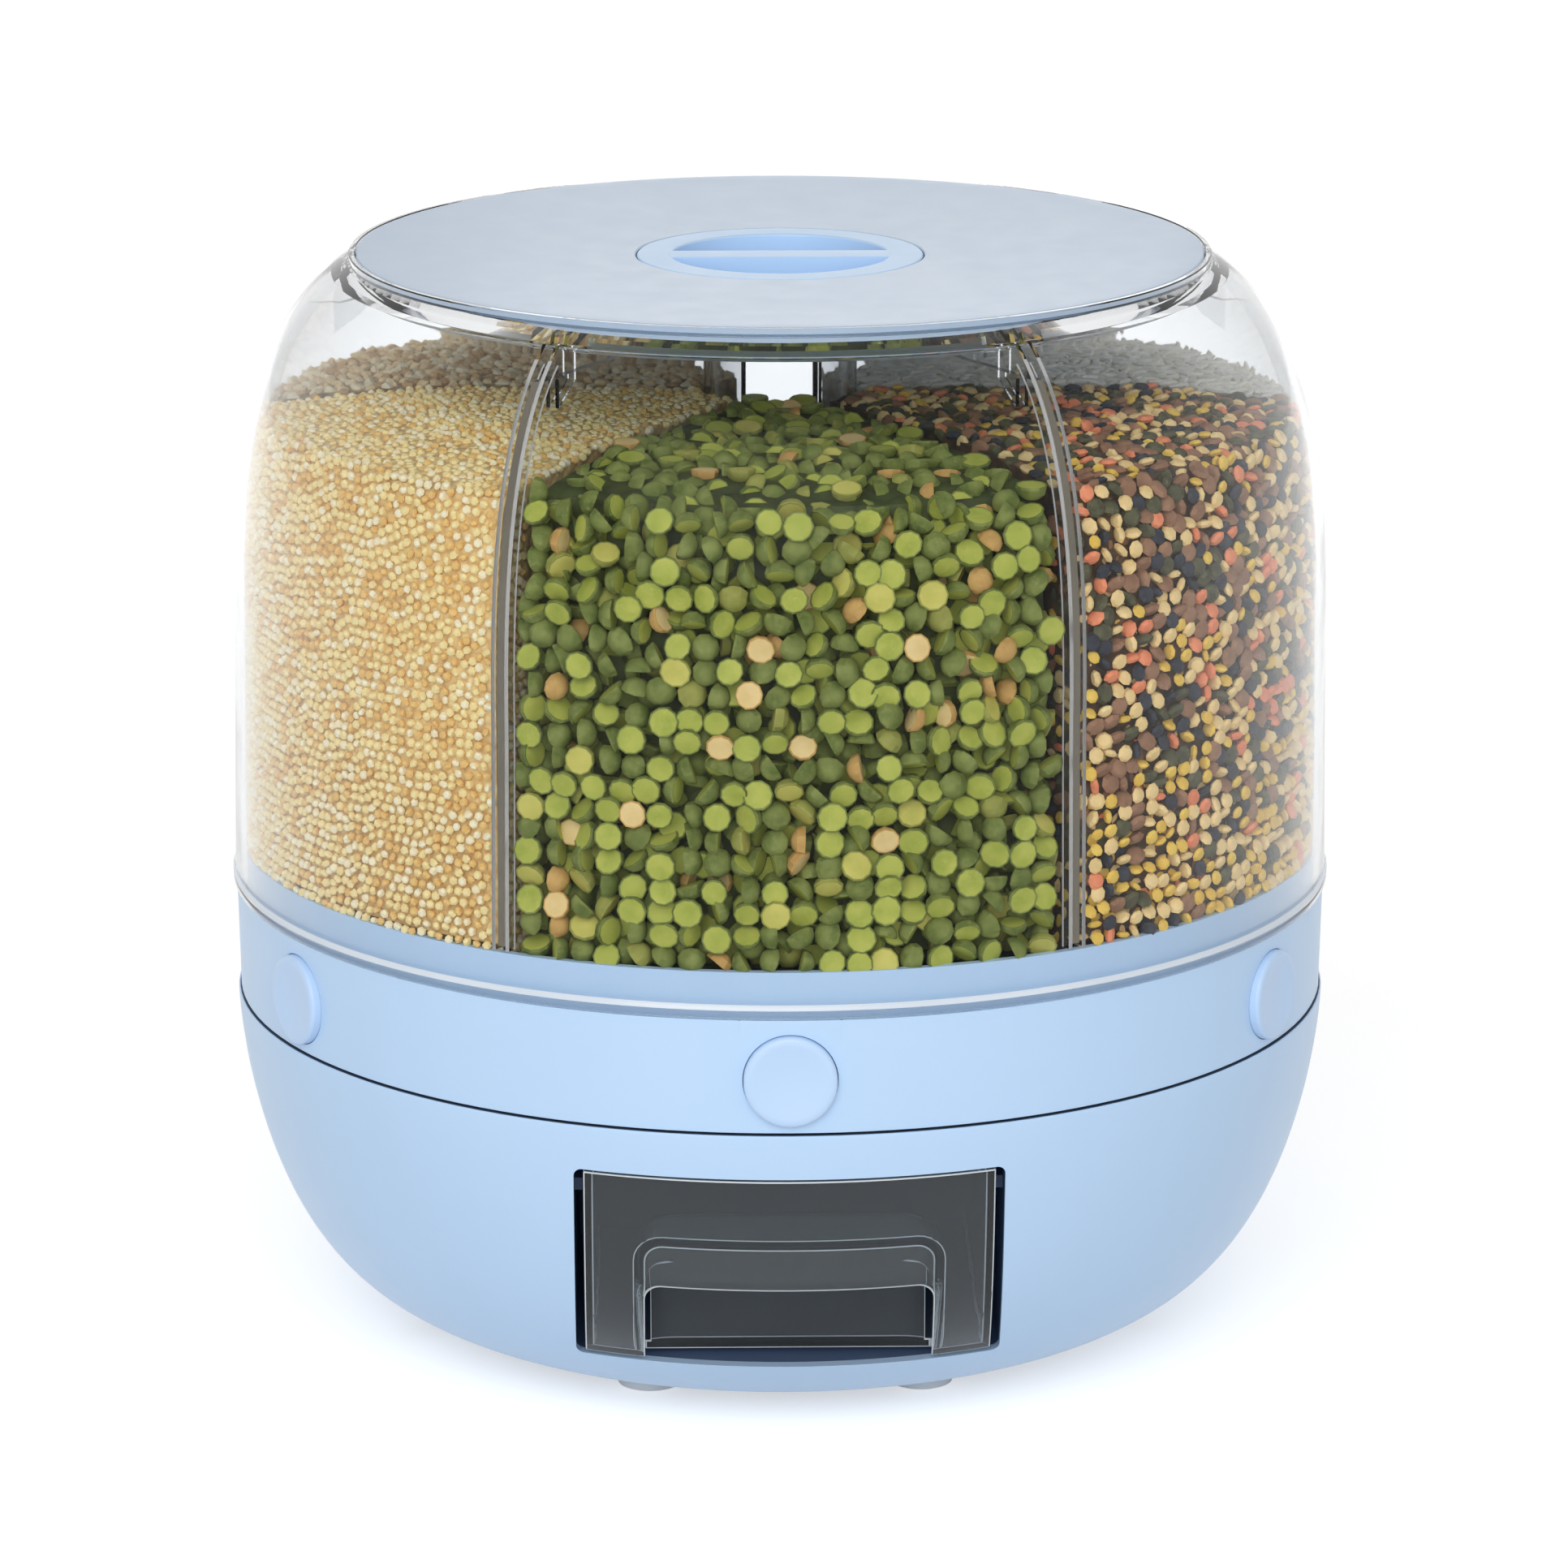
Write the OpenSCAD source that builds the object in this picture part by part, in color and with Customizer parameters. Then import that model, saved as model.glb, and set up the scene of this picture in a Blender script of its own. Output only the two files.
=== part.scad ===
// Rotating grain dispenser: six clear compartments turn on a round base, a
// sprung button under each one opens a gate in its floor, and the grain drops
// through a chute into a clear drawer in the front of the base.
//
// Origin: centre of the feet, on the table. +Z is up and the drawer opens
// towards -Y. An azimuth is counted from -Y, anticlockwise seen from above.

/* [Overall] */
// Radius of the button ring at its top edge
body_r = 135.5; // [128:0.5:150]
// Height of the base from its underside to its top edge
base_h = 82; // [74:1:98]
// Height of the button ring
ring_h = 27.5; // [26.5:0.5:34]
// Height of the clear shell from its bottom edge to its mouth rim
shell_h = 155.9; // [125:0.1:190]
// Clear height under the base
foot_gap = 1.5; // [1:0.5:4]

/* [Fits] */
// Gap between two pieces that seat on each other
seat_gap = 0.3; // [0.2:0.05:0.5]
// Gap between the turning ring and the top of the base
turn_gap = 0.5; // [0.3:0.1:1]
// Radial clearance of the drum on its spindle
spindle_clearance = 0.08; // [0.05:0.01:0.1]
// Radial clearance of a screw in its hole
screw_clearance = 0.1; // [0.05:0.01:0.2]

/* [Base] */
// Thickness of the base wall
base_wall = 2.5; // [1.8:0.1:3.5]
// How far the top edge of the base stands out past the button ring
base_step = 0.1; // [0:0.1:1]
// Radius of the flat middle of the underside
bowl_flat_r = 33; // [20:1:50]
// Exponent of the bowl's radius curve
bowl_round = 0.4; // [0.3:0.02:0.6]
// Exponent of the bowl's height curve
bowl_fall = 1.28; // [1:0.02:1.6]
// Thickness of the deck under the drum
deck_t = 2.5; // [2:0.1:4]
// Depth of the deck's top face below the top edge of the base
deck_drop = 4.5; // [4:0.1:8]
// Height of the rim round the deck
deck_rim_h = 3.5; // [1:0.1:3.8]
// Radius of the circle of deck screws
deck_screw_ring_r = 95; // [88:1:100]
// Radius of a rubber foot
foot_r = 8; // [6:0.5:11]
// Thickness of a rubber foot
foot_t = 4; // [3:0.5:7]
// Radius of the circle of feet
foot_ring_r = 78; // [65:1:85]

/* [Drawer] */
// Width of the drawer opening in the base
opening_w = 101; // [80:1:110]
// Side gap between the opening and the drawer
drawer_side_gap = 2.25; // [1:0.05:4]
// Distance from the top edge of the base down to the opening
opening_drop = 10.9; // [9:0.1:20]
// Distance from the underside of the base up to the opening
opening_rise = 17.9; // [14:0.1:24]
// Gap over the drawer's front
drawer_top_gap = 0.7; // [0.5:0.1:2]
// Gap under the drawer's front
drawer_under_gap = 0.9; // [0.6:0.1:2]
// Corner radius of the opening
opening_corner = 2; // [1:0.5:5]
// Depth of the drawer's face behind the bowl's surface
face_inset = 0.4; // [0:0.1:2]
// Wall of the drawer
drawer_wall = 2.2; // [1.6:0.1:3]
// Distance from the spindle's axis to the back of the drawer
drawer_back = 17; // [16:0.5:30]
// Travel of the drawer
drawer_travel = 85; // [60:1:90]
// Wall of the drawer tunnel
tunnel_wall = 2.2; // [1.6:0.1:3]
// Width of the finger pocket
pocket_w = 68; // [50:1:76]
// Height of the cut-out in the drawer's face
pocket_cut_h = 22.2; // [18:0.1:26]
// Height of the pocket behind the face
pocket_h = 33.4; // [28:0.1:36]
// Depth of the pocket's back wall behind the ring's outer edge
pocket_depth = 31.5; // [26:0.5:40]
// Corner radius of the pocket, seen from above
pocket_corner = 7; // [3:0.5:10]
// Corner radius of the cut-out in the face
pocket_cut_corner = 4; // [2:0.5:6]

/* [Drum] */
// Wall of the button ring at its top
ring_wall = 2.2; // [1.8:0.1:3]
// How much the ring narrows towards its bottom edge
ring_draft = 0.55; // [0:0.05:1]
// Thickness of the compartment floor
floor_t = 2.2; // [1.6:0.1:3]
// Thickness of the rim round the floor
rim_t = 2; // [1.5:0.1:3]
// Height of the floor's rim above the bottom of the clear shell
rim_h = 10.7; // [6:0.1:14]
// Height of the floor's cone at the hub above the outlets
cone_h = 36.8; // [20:0.1:50]
// Outer radius of the hub tube
hub_r = 19.8; // [17:0.1:26]
// Thickness of a divider vane
vane_t = 2; // [1.5:0.1:3]
// Gap between a vane's edge and the clear shell
vane_gap = 0.6; // [0.3:0.1:0.9]
// Height of the vanes' top edge below the mouth rim
vane_drop = 13.7; // [12.5:0.1:25]

/* [Clear shell] */
// Wall of the clear shell
shell_wall = 2.4; // [1.8:0.1:3]
// How far the shell's bottom edge stands out past the ring
shell_step = 0.4; // [0:0.1:1]
// How much the shell narrows up to the start of the dome
shell_draft = 0.95; // [0:0.05:2]
// Outer radius of the bead round the shell's bottom edge, past the ring
bead_step = 0.9; // [0.5:0.1:2]
// Height of the bead
bead_h = 2.6; // [1.5:0.1:5]
// Distance that the dome's curve reaches inwards
dome_in = 59.2; // [50:0.1:70]
// Height of the dome's curve
dome_h = 96.4; // [80:0.1:110]
// Exponent of the dome's curve
dome_round = 2.7; // [2:0.05:3.5]
// Distance from the ring's outer edge in to the mouth's collar
collar_inset = 30.2; // [24:0.1:40]
// Height of the collar above the dome
collar_up = 1.9; // [1:0.1:5]
// Wall of the mouth's neck
neck_wall = 1.6; // [1.2:0.1:2.5]
// Depth of the neck below the mouth rim
neck_h = 8.5; // [7:0.1:12]
// Thickness of the ledge that carries the lid
ledge_t = 2.7; // [2:0.1:4]
// Width of the ledge
ledge_w = 2.5; // [2:0.1:4]
// Width of the break in the ledge at each vane
ledge_break = 15; // [8:1:25]
// Thickness of a rib that guides a vane
rib_t = 1; // [0.8:0.1:1.5]
// Depth of a rib
rib_depth = 3; // [2:0.1:5]

/* [Lid] */
// Thickness of the lid
lid_t = 2.2; // [1.8:0.1:3]
// Height of the lid's skirt
lid_skirt_h = 5.5; // [4.5:0.1:5.5]
// Depth of the dish in the lid's top
lid_dish = 1.85; // [0.5:0.05:3]
// Gap between the lid's rim and the neck
lid_gap = 0.3; // [0.2:0.05:0.6]
// Radius of the grip insert's flange
grip_flange_r = 35; // [32:0.5:42]
// Radius of the finger recess
grip_r = 26.6; // [22:0.1:28]
// Depth of the finger recess
grip_depth = 8; // [6:0.1:8.4]
// Width of the bar across the recess
grip_bar_w = 8.8; // [6:0.1:12]
// Wall of the grip insert
grip_wall = 1.8; // [1.4:0.1:2.4]
// Height of the lid's seal
gasket_h = 2.2; // [1.5:0.1:2.4]
// Depth of the seal's groove
gasket_depth = 1; // [0.6:0.1:1.4]

/* [Buttons and gates] */
// Radius of a button
button_r = 10.95; // [9:0.05:11]
// Radial clearance of a button in the ring
button_gap = 0.2; // [0.15:0.05:0.3]
// How far a button stands out of the ring
button_out = 1.8; // [1:0.1:3]
// Travel of a button
press_travel = 9; // [6:0.5:9]
// Length of a button's barrel, from the ring's outer edge inwards
barrel_l = 11; // [9:0.5:11]
// Height of a button's axis above the ring's bottom edge
button_axis_h = 12.9; // [12.5:0.1:14]
// Depth of the hollow in a button's face
button_hollow = 0.8; // [0:0.1:1.2]
// Thickness of a gate
gate_t = 2.1; // [1.5:0.1:2.5]
// Width of a gate
gate_w = 34; // [30:1:36]
// Height of a gate above the ring's bottom edge
gate_rise = 6.6; // [6:0.1:7]
// Width of an outlet
outlet_w = 26; // [18:1:28]
// Distance from the ring's outer edge in to the middle of an outlet
outlet_inset = 41; // [39:0.5:48]
// Outer radius of a return spring
spring_r = 6.5; // [5.5:0.1:7.5]
// Wire thickness of a return spring
spring_wire = 1.1; // [0.8:0.1:1.4]

/* [Bearing] */
// Radius of the spindle
spindle_r = 6; // [4:0.5:8]
// Radius of the circle of bearing balls
race_r = 60; // [50:1:66]
// Radius of a bearing ball
ball_r = 3; // [2.5:0.1:3]
// Number of bearing balls
ball_count = 12; // [6:1:18]

/* [Hidden] */
$fn = 96;
STATIONS = 6;
station_step = 360 / STATIONS;
cut = 1;

plastic_blue = [0.74, 0.86, 0.98];
plastic_deep = [0.55, 0.68, 0.86];
plastic_clear = [0.86, 0.90, 0.92, 0.35];
plastic_white = [0.93, 0.93, 0.91];
steel = [0.72, 0.73, 0.75];
rubber_grey = [0.30, 0.31, 0.33];
seal_white = [0.90, 0.92, 0.94, 0.8];

// Heights of the seams, from the table up
base_bottom = foot_gap;
base_top = base_bottom + base_h;
ring_bottom = base_top + turn_gap;
ring_top = ring_bottom + ring_h;
shell_bottom = ring_top + seat_gap;
shell_top = shell_bottom + shell_h;

// The bowl of the base
base_r = body_r + base_step;
bowl_steps = 22;
bowl_path = [for (i = [bowl_steps:-1:0]) bowl_point(90 * i / bowl_steps)];

// The deck and its ledge
deck_top = base_top - deck_drop;
deck_bottom = deck_top - deck_t;
deck_r = base_r - base_wall - 3 * seat_gap;
deck_ledge_w = 5;
deck_ledge_gusset = 3;
deck_boss_r = 6;
deck_boss_h = 16;
deck_screw_azimuths = [70, 140, 220, 290];
deck_post_top = deck_bottom - deck_boss_h - seat_gap;
deck_screw_seat = deck_post_top - 8;
foot_azimuths = [25, 90, 155, 205, 270, 335];
foot_boss_r = foot_r + 2;
foot_boss_top = foot_t + seat_gap + 2;

// Screws: plain shank, round head
screw_r = 1.5;
screw_head_r = 3;
screw_head_h = 2.2;
deck_screw_l = 22;
ring_screw_l = 12;
tunnel_screw_l = 7;

// The drawer, its tunnel and its pocket
opening_top = base_top - opening_drop;
opening_bottom = base_bottom + opening_rise;
drawer_top = opening_top - drawer_top_gap;
drawer_bottom = opening_bottom + drawer_under_gap;
drawer_half = opening_w / 2 - drawer_side_gap;
tunnel_half = opening_w / 2;
tunnel_floor = opening_bottom - seat_gap;
tunnel_back = drawer_back - 2 * seat_gap;
runner_w = 3;
guide_h = 3;
guide_drop = 6;
guide_setback = 14;
pocket_back = body_r - pocket_depth;
stop_x = 30;
stop_w = 8;
stop_tab_h = 2.5;
stop_rib_t = 2.5;
tunnel_tab_l = 12;
tunnel_tab_w = 11;
tunnel_tab_t = 2.5;
tunnel_screw_x = tunnel_half + tunnel_wall + tunnel_tab_w / 2;
tunnel_boss_r = 4;
tunnel_boss_h = 3;

// The tunnel's rear screws stay outside the bearing's race
race_half = 5;
race_clear_r = race_r + race_half + tunnel_boss_r + 2 * seat_gap;
tunnel_rear_y = max(40, sqrt(max(0, pow(race_clear_r, 2) - pow(tunnel_screw_x, 2))));
tunnel_tab_ys = [-tunnel_rear_y, -97];

// The chute lies under the front outlet
chute_margin = 6;
chute_half = outlet_w / 2 + chute_margin;
chute_wall = 2;
chute_lip_h = 2.5;
chute_skirt_h = 3.2;

// The bearing: two races, with the balls half way between them
race_pad_h = 1.2;
race_gap = 3.9;
ball_z = deck_top + race_pad_h + race_gap / 2;
race_top = deck_top + race_pad_h + race_gap;
hub_web_z = race_top + 31.2;
hub_web_t = 2.5;
race_play = 0.2;
cage_play = 0.4;
cage_t = race_gap - 2 * cage_play;
spindle_boss_r = 10.5;
spindle_boss_h = 10;
spindle_flange_r = 9.5;
spindle_flange_h = 2.5;
spindle_screw_l = 12;
spindle_top = hub_web_z + hub_web_t + seat_gap;
washer_r = 10.5;
washer_t = 1.5;

// The buttons' holes in the ring
button_z = ring_bottom + button_axis_h;
button_hole_r = button_r + button_gap;
sleeve_r = button_hole_r + 1.45;

// The drum's floor, from the hub outwards
ring_inner_r = body_r - ring_wall;
rim_outer_r = ring_inner_r - seat_gap;
rim_inner_r = rim_outer_r - rim_t;
rim_top = shell_bottom + rim_h;
rim_bottom = button_z + sleeve_r + seat_gap;
gate_z = ring_bottom + gate_rise;
land_z = gate_z + gate_t + seat_gap + floor_t;
outlet_r = body_r - outlet_inset;
outlet_l = press_travel;
land_margin = 2;
hub_foot_r = hub_r + 2.2;
hub_foot_z = land_z + cone_h;
floor_edge_z = rim_top - 1.3;
floor_path = [
    [hub_foot_r, hub_foot_z],
    [outlet_r - outlet_l / 2 - land_margin, land_z],
    [outlet_r + outlet_l / 2 + land_margin, land_z],
    [rim_inner_r, floor_edge_z]];
hub_wall = 2;
hub_cap_t = 1.2;
spigot_r = hub_r - hub_wall - seat_gap;
spigot_h = 10;
hub_boss_wall = 5;
race_web_t = 2;
race_flange_t = 3.2;
lug_t = 2.5;
lug_rise = 3.5;
lug_w = 12;
lug_r = body_r - 11.5;
lug_reach = 5;
post_r = 4.5;
post_top = floor_edge_z - 10.2;
post_azimuths = [for (k = [0:STATIONS - 1]) station_step * (k + 0.5)];

// The clear shell's outer curve, from its bottom edge up to the collar
shell_r = body_r + shell_step;
collar_r = body_r - collar_inset;
neck_r = collar_r - neck_wall;
dome_r = shell_r - shell_draft;
dome_centre_r = dome_r - dome_in;
dome_end = acos(pow((collar_r - dome_centre_r) / dome_in, dome_round / 2));
dome_steps = 18;
dome_start_z = shell_top - collar_up - dome_h * pow(sin(dome_end), 2 / dome_round);
dome_path = [for (i = [0:dome_steps]) dome_point(dome_end * i / dome_steps)];
shell_path = concat([[shell_r, shell_bottom]], dome_path);
ledge_top = shell_top - neck_h + ledge_t;
rib_bottom = rim_top + 2 * seat_gap;
rib_path = concat([[shell_r, rib_bottom]], dome_path);
rib_offset = vane_t / 2 + seat_gap + rib_t / 2;

// The vanes
vane_top = shell_top - vane_drop;
vane_edge = inset(shell_path, shell_wall + vane_gap);
vane_edge_by_z = [for (p = vane_edge) [p[1], p[0]]];
vane_root_r = hub_r - hub_wall / 2;

// The lid
lid_r = neck_r - lid_gap;
lid_rim_w = 0.3;
lid_skirt_r = lid_r - lid_rim_w;
lid_skirt_t = 2;
lid_centre_z = shell_top - lid_dish;
lid_steps = 10;
grip_hole_r = grip_r + grip_wall + seat_gap;
grip_flange_t = 1.2;
grip_ledge_w = 3;
gasket_drop = 1.6;
gasket_reach = 0.15;
gasket_play = 0.1;

// Buttons, gates and springs
barrel_wall = 1.8;
button_face_t = 2.7;
barrel_end = body_r - barrel_l;
sleeve_end = barrel_end + 0.5;
prong_t = 2.3;
prong_w = 2.3;
prong_top = button_z + 3;
pod_r = button_hole_r + 2;
pod_wall = 2;
pod_floor_z = gate_z + gate_t + seat_gap;
pod_end = barrel_end - press_travel - prong_t - 2 * seat_gap - 0.2;
gate_outer = barrel_end - 0.2;
gate_shoulder = 4;
gate_inner = outlet_r - outlet_l / 2 - gate_shoulder;
rail_t = 2;
rail_lip = 2;
spring_seat = pod_end;
spring_end = body_r + button_out - button_face_t;
spring_play = 0.2;
pin_r = spring_r - spring_wire - 0.6;
pin_l = 3.6;

// ---------------------------------------------------------------- curves

// A point of the bowl's outer curve: 0 degrees at the top edge, 90 underneath
function bowl_point(angle) = [
    bowl_flat_r + (base_r - bowl_flat_r) * pow(cos(angle), bowl_round),
    base_top - base_h * pow(sin(angle), bowl_fall)];

// A point of the dome's outer curve: 0 degrees where it leaves the wall
function dome_point(angle) = [
    dome_centre_r + dome_in * pow(cos(angle), 2 / dome_round),
    dome_start_z + dome_h * pow(sin(angle), 2 / dome_round)];

// The direction of a path at its point i, from the points on either side
function heading(path, i) =
    let (a = path[max(i - 1, 0)], b = path[min(i + 1, len(path) - 1)]) (b - a) / norm(b - a);

// The path moved to its left by a distance
function inset(path, distance) = [
    for (i = [0:len(path) - 1])
        let (h = heading(path, i)) path[i] + distance * [-h[1], h[0]]];

function reversed(path) = [for (i = [len(path) - 1:-1:0]) path[i]];

// ---------------------------------------------------------------- helpers

// Places its children at an azimuth: their -Y side faces outwards
module at_azimuth(azimuth) {
    rotate([0, 0, azimuth]) children();
}

// Places its children at every station
module at_stations() {
    for (k = [0:STATIONS - 1]) at_azimuth(k * station_step) children();
}

// A solid of revolution from an outline of [radius, height] points
module turned(outline) {
    rotate_extrude() polygon(outline);
}

// A ring with a rectangular section
module ring(inner, outer, bottom, top) {
    turned([[inner, bottom], [outer, bottom], [outer, top], [inner, top]]);
}

// A cylinder along -Y, from one distance from the axis to another
module radial_rod(radius, from, to, height) {
    translate([0, -from, height]) rotate([90, 0, 0]) cylinder(r = radius, h = to - from);
}

// A box centred on X, between two distances from the axis along -Y
module radial_box(width, from, to, bottom, top) {
    translate([-width / 2, -to, bottom]) cube([width, to - from, top - bottom]);
}

// A rectangle with round corners, made of exact arcs
module rounded_rectangle(width, height, corner) {
    square([width - 2 * corner, height], center = true);
    square([width, height - 2 * corner], center = true);
    for (x = [-1, 1], y = [-1, 1])
        translate([x * (width / 2 - corner), y * (height / 2 - corner)]) circle(r = corner);
}

// The solid bowl, drawn in by a distance from its outer surface
module bowl_solid(distance, top) {
    path = inset(bowl_path, distance);
    last = path[len(path) - 1];
    turned(concat([[0, path[0][1]]], path, [[last[0], top], [0, top]]));
}

// The places of the screws that hold the deck to the base
module at_deck_screws() {
    for (a = deck_screw_azimuths) at_azimuth(a) translate([0, -deck_screw_ring_r, 0]) children();
}

// The places of the screws that hold the tunnel to the deck
module at_tunnel_screws() {
    for (side = [-1, 1], y = tunnel_tab_ys) translate([side * tunnel_screw_x, y, 0]) children();
}

// The places of the screws that hold the ring to the drum's floor
module at_ring_screws() {
    for (a = post_azimuths) at_azimuth(a) translate([0, -lug_r, 0]) children();
}

// A screw with its head's underside at a height and its shank above it
module screw_up(seat, length) {
    translate([0, 0, seat]) cylinder(r = screw_r, h = length);
    translate([0, 0, seat - screw_head_h]) cylinder(r = screw_head_r, h = screw_head_h);
}

// ---------------------------------------------------------------- base

module base_shell() {
    color(plastic_blue) difference() {
        union() {
            difference() {
                bowl_solid(0, base_top);
                bowl_solid(base_wall, base_top + cut);
            }
            deck_ledge();
            intersection() {
                bowl_solid(0, base_top);
                union() {
                    at_deck_screws() cylinder(r = deck_boss_r, h = deck_post_top);
                    at_feet() cylinder(r = foot_boss_r, h = foot_boss_top);
                }
            }
        }
        drawer_opening();
        at_feet() translate([0, 0, -cut])
            cylinder(r = foot_r + seat_gap, h = foot_t + seat_gap + cut);
        at_deck_screws() {
            translate([0, 0, -cut])
                cylinder(r = screw_head_r + 2 * screw_clearance, h = deck_screw_seat + cut);
            cylinder(r = screw_r + screw_clearance, h = base_top);
        }
    }
}

// The ledge inside the bowl that the deck rests on
module deck_ledge() {
    inner = deck_r - deck_ledge_w;
    outer = base_r - base_wall / 2 - 1;
    top = deck_bottom - seat_gap;
    turned([[inner, top - 2], [inner, top], [outer, top],
        [outer, top - deck_ledge_w - deck_ledge_gusset]]);
}

module at_feet() {
    for (a = foot_azimuths) at_azimuth(a) translate([0, -foot_ring_r, 0]) children();
}

module drawer_opening() {
    height = opening_top - opening_bottom;
    translate([0, -body_r / 2, opening_bottom + height / 2]) rotate([90, 0, 0])
        linear_extrude(height = body_r) rounded_rectangle(opening_w, height, opening_corner);
}

module base_deck() {
    chute_inner = outlet_r - outlet_l / 2 - chute_margin;
    chute_outer = outlet_r + outlet_l / 2 + chute_margin;
    color(plastic_blue) difference() {
        union() {
            ring(0, deck_r, deck_bottom, deck_top);
            ring(deck_r - 2, deck_r, deck_bottom, deck_top + deck_rim_h);
            ring(race_r - race_half, race_r + race_half, deck_bottom, deck_top + race_pad_h);
            translate([0, 0, deck_bottom - spindle_boss_h])
                cylinder(r = spindle_boss_r, h = spindle_boss_h + deck_t);
            at_deck_screws() translate([0, 0, deck_bottom - deck_boss_h])
                cylinder(r = deck_boss_r, h = deck_boss_h + deck_t);
            at_tunnel_screws() translate([0, 0, deck_bottom])
                cylinder(r = tunnel_boss_r, h = deck_t + tunnel_boss_h);
            radial_box(2 * (chute_half + chute_wall), chute_inner - chute_wall,
                chute_outer + chute_wall, deck_bottom - chute_skirt_h, deck_top + chute_lip_h);
            for (side = [-1, 1]) translate([side * stop_x, 0, 0]) radial_box(stop_w,
                drawer_back + drawer_wall + drawer_travel + seat_gap,
                drawer_back + drawer_wall + drawer_travel + seat_gap + stop_rib_t,
                drawer_top + stop_tab_h / 2, deck_bottom + deck_t / 2);
        }
        radial_box(2 * chute_half, chute_inner, chute_outer, 0, base_top);
        cylinder(r = spindle_r + screw_clearance, h = base_top);
        rotate_extrude() translate([race_r, ball_z]) circle(r = ball_r + race_play);
        at_deck_screws() cylinder(r = screw_r + screw_clearance, h = deck_top - 1);
        at_tunnel_screws() cylinder(r = screw_r + screw_clearance,
            h = deck_top + tunnel_boss_h - 1);
    }
}

module drawer_tunnel() {
    top = deck_bottom - seat_gap;
    outer_half = tunnel_half + tunnel_wall;
    front = base_r;
    color(plastic_deep) difference() {
        intersection() {
            bowl_solid(base_wall + seat_gap, top);
            union() {
                for (side = [-1, 1]) {
                    translate([side * (tunnel_half + tunnel_wall / 2), 0, 0])
                        radial_box(tunnel_wall, tunnel_back - tunnel_wall, front, 0, top);
                    translate([side * (tunnel_half * 0.8), 0, 0]) radial_box(runner_w,
                        tunnel_back, front - guide_setback, tunnel_floor - 1,
                        drawer_bottom - seat_gap);
                    translate([side * (drawer_half + seat_gap + tunnel_half + 1) / 2, 0, 0])
                        radial_box(tunnel_half - drawer_half - seat_gap + 1, tunnel_back,
                            front - guide_setback - 10, drawer_top - guide_drop - guide_h,
                            drawer_top - guide_drop);
                }
                radial_box(2 * outer_half, tunnel_back - tunnel_wall, front,
                    tunnel_floor - tunnel_wall, tunnel_floor);
                radial_box(2 * outer_half, tunnel_back - tunnel_wall, tunnel_back, 0, top);
                at_tunnel_screws()
                    translate([-tunnel_tab_w / 2 - 1, -tunnel_tab_l / 2, top - tunnel_tab_t])
                        cube([tunnel_tab_w + 2, tunnel_tab_l, tunnel_tab_t]);
            }
        }
        ring(deck_r - deck_ledge_w - seat_gap, base_r,
            top - deck_ledge_w - deck_ledge_gusset - 2 * seat_gap, base_top);
        at_tunnel_screws() cylinder(r = screw_r + screw_clearance, h = base_top);
        at_feet() cylinder(r = foot_boss_r + seat_gap, h = foot_boss_top + seat_gap);
    }
}

module tunnel_screws() {
    seat = deck_bottom - seat_gap - tunnel_tab_t;
    color(steel) at_tunnel_screws() screw_up(seat, tunnel_screw_l);
}

module deck_screws() {
    color(steel) at_deck_screws() screw_up(deck_screw_seat, deck_screw_l);
}

module rubber_feet() {
    color(rubber_grey) at_feet() cylinder(r = foot_r, h = foot_t);
}

module spindle() {
    bottom = deck_bottom - spindle_boss_h;
    tapped_l = spindle_screw_l + 2;
    color(steel) difference() {
        union() {
            translate([0, 0, bottom]) cylinder(r = spindle_r, h = spindle_top - bottom);
            translate([0, 0, bottom - spindle_flange_h])
                cylinder(r = spindle_flange_r, h = spindle_flange_h);
        }
        translate([0, 0, spindle_top - tapped_l])
            cylinder(r = screw_r + screw_clearance, h = tapped_l + cut);
    }
}

module spindle_washer() {
    color(steel) ring(screw_r + screw_clearance, washer_r, spindle_top, spindle_top + washer_t);
}

module spindle_screw() {
    seat = spindle_top + washer_t;
    color(steel) {
        translate([0, 0, seat]) cylinder(r = screw_head_r, h = screw_head_h);
        translate([0, 0, seat - spindle_screw_l]) cylinder(r = screw_r, h = spindle_screw_l);
    }
}

// ---------------------------------------------------------------- bearing

module ball_cage() {
    color(plastic_white) difference() {
        ring(race_r - race_half + 0.5, race_r + race_half - 0.5,
            ball_z - cage_t / 2, ball_z + cage_t / 2);
        at_balls() cylinder(r = ball_r + seat_gap, h = ring_top);
    }
}

module bearing_balls() {
    color(steel) at_balls() translate([0, 0, ball_z]) sphere(r = ball_r);
}

module at_balls() {
    for (i = [0:ball_count - 1]) at_azimuth((i + 0.5) * 360 / ball_count)
        translate([0, -race_r, 0]) children();
}

// ---------------------------------------------------------------- drum

module drum_ring() {
    lug_bottom = ring_bottom + lug_rise;
    color(plastic_blue) difference() {
        union() {
            turned([[ring_inner_r, ring_bottom], [body_r - ring_draft, ring_bottom],
                [body_r, ring_top], [ring_inner_r, ring_top]]);
            at_stations() radial_rod(sleeve_r, sleeve_end, ring_inner_r + 1, button_z);
            for (a = post_azimuths) at_azimuth(a) radial_box(lug_w, lug_r - lug_reach,
                ring_inner_r + 0.5, lug_bottom, lug_bottom + lug_t);
        }
        at_stations() radial_rod(button_hole_r, sleeve_end - cut, body_r + cut, button_z);
        at_ring_screws() cylinder(r = screw_r + screw_clearance, h = ring_top);
    }
}

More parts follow.
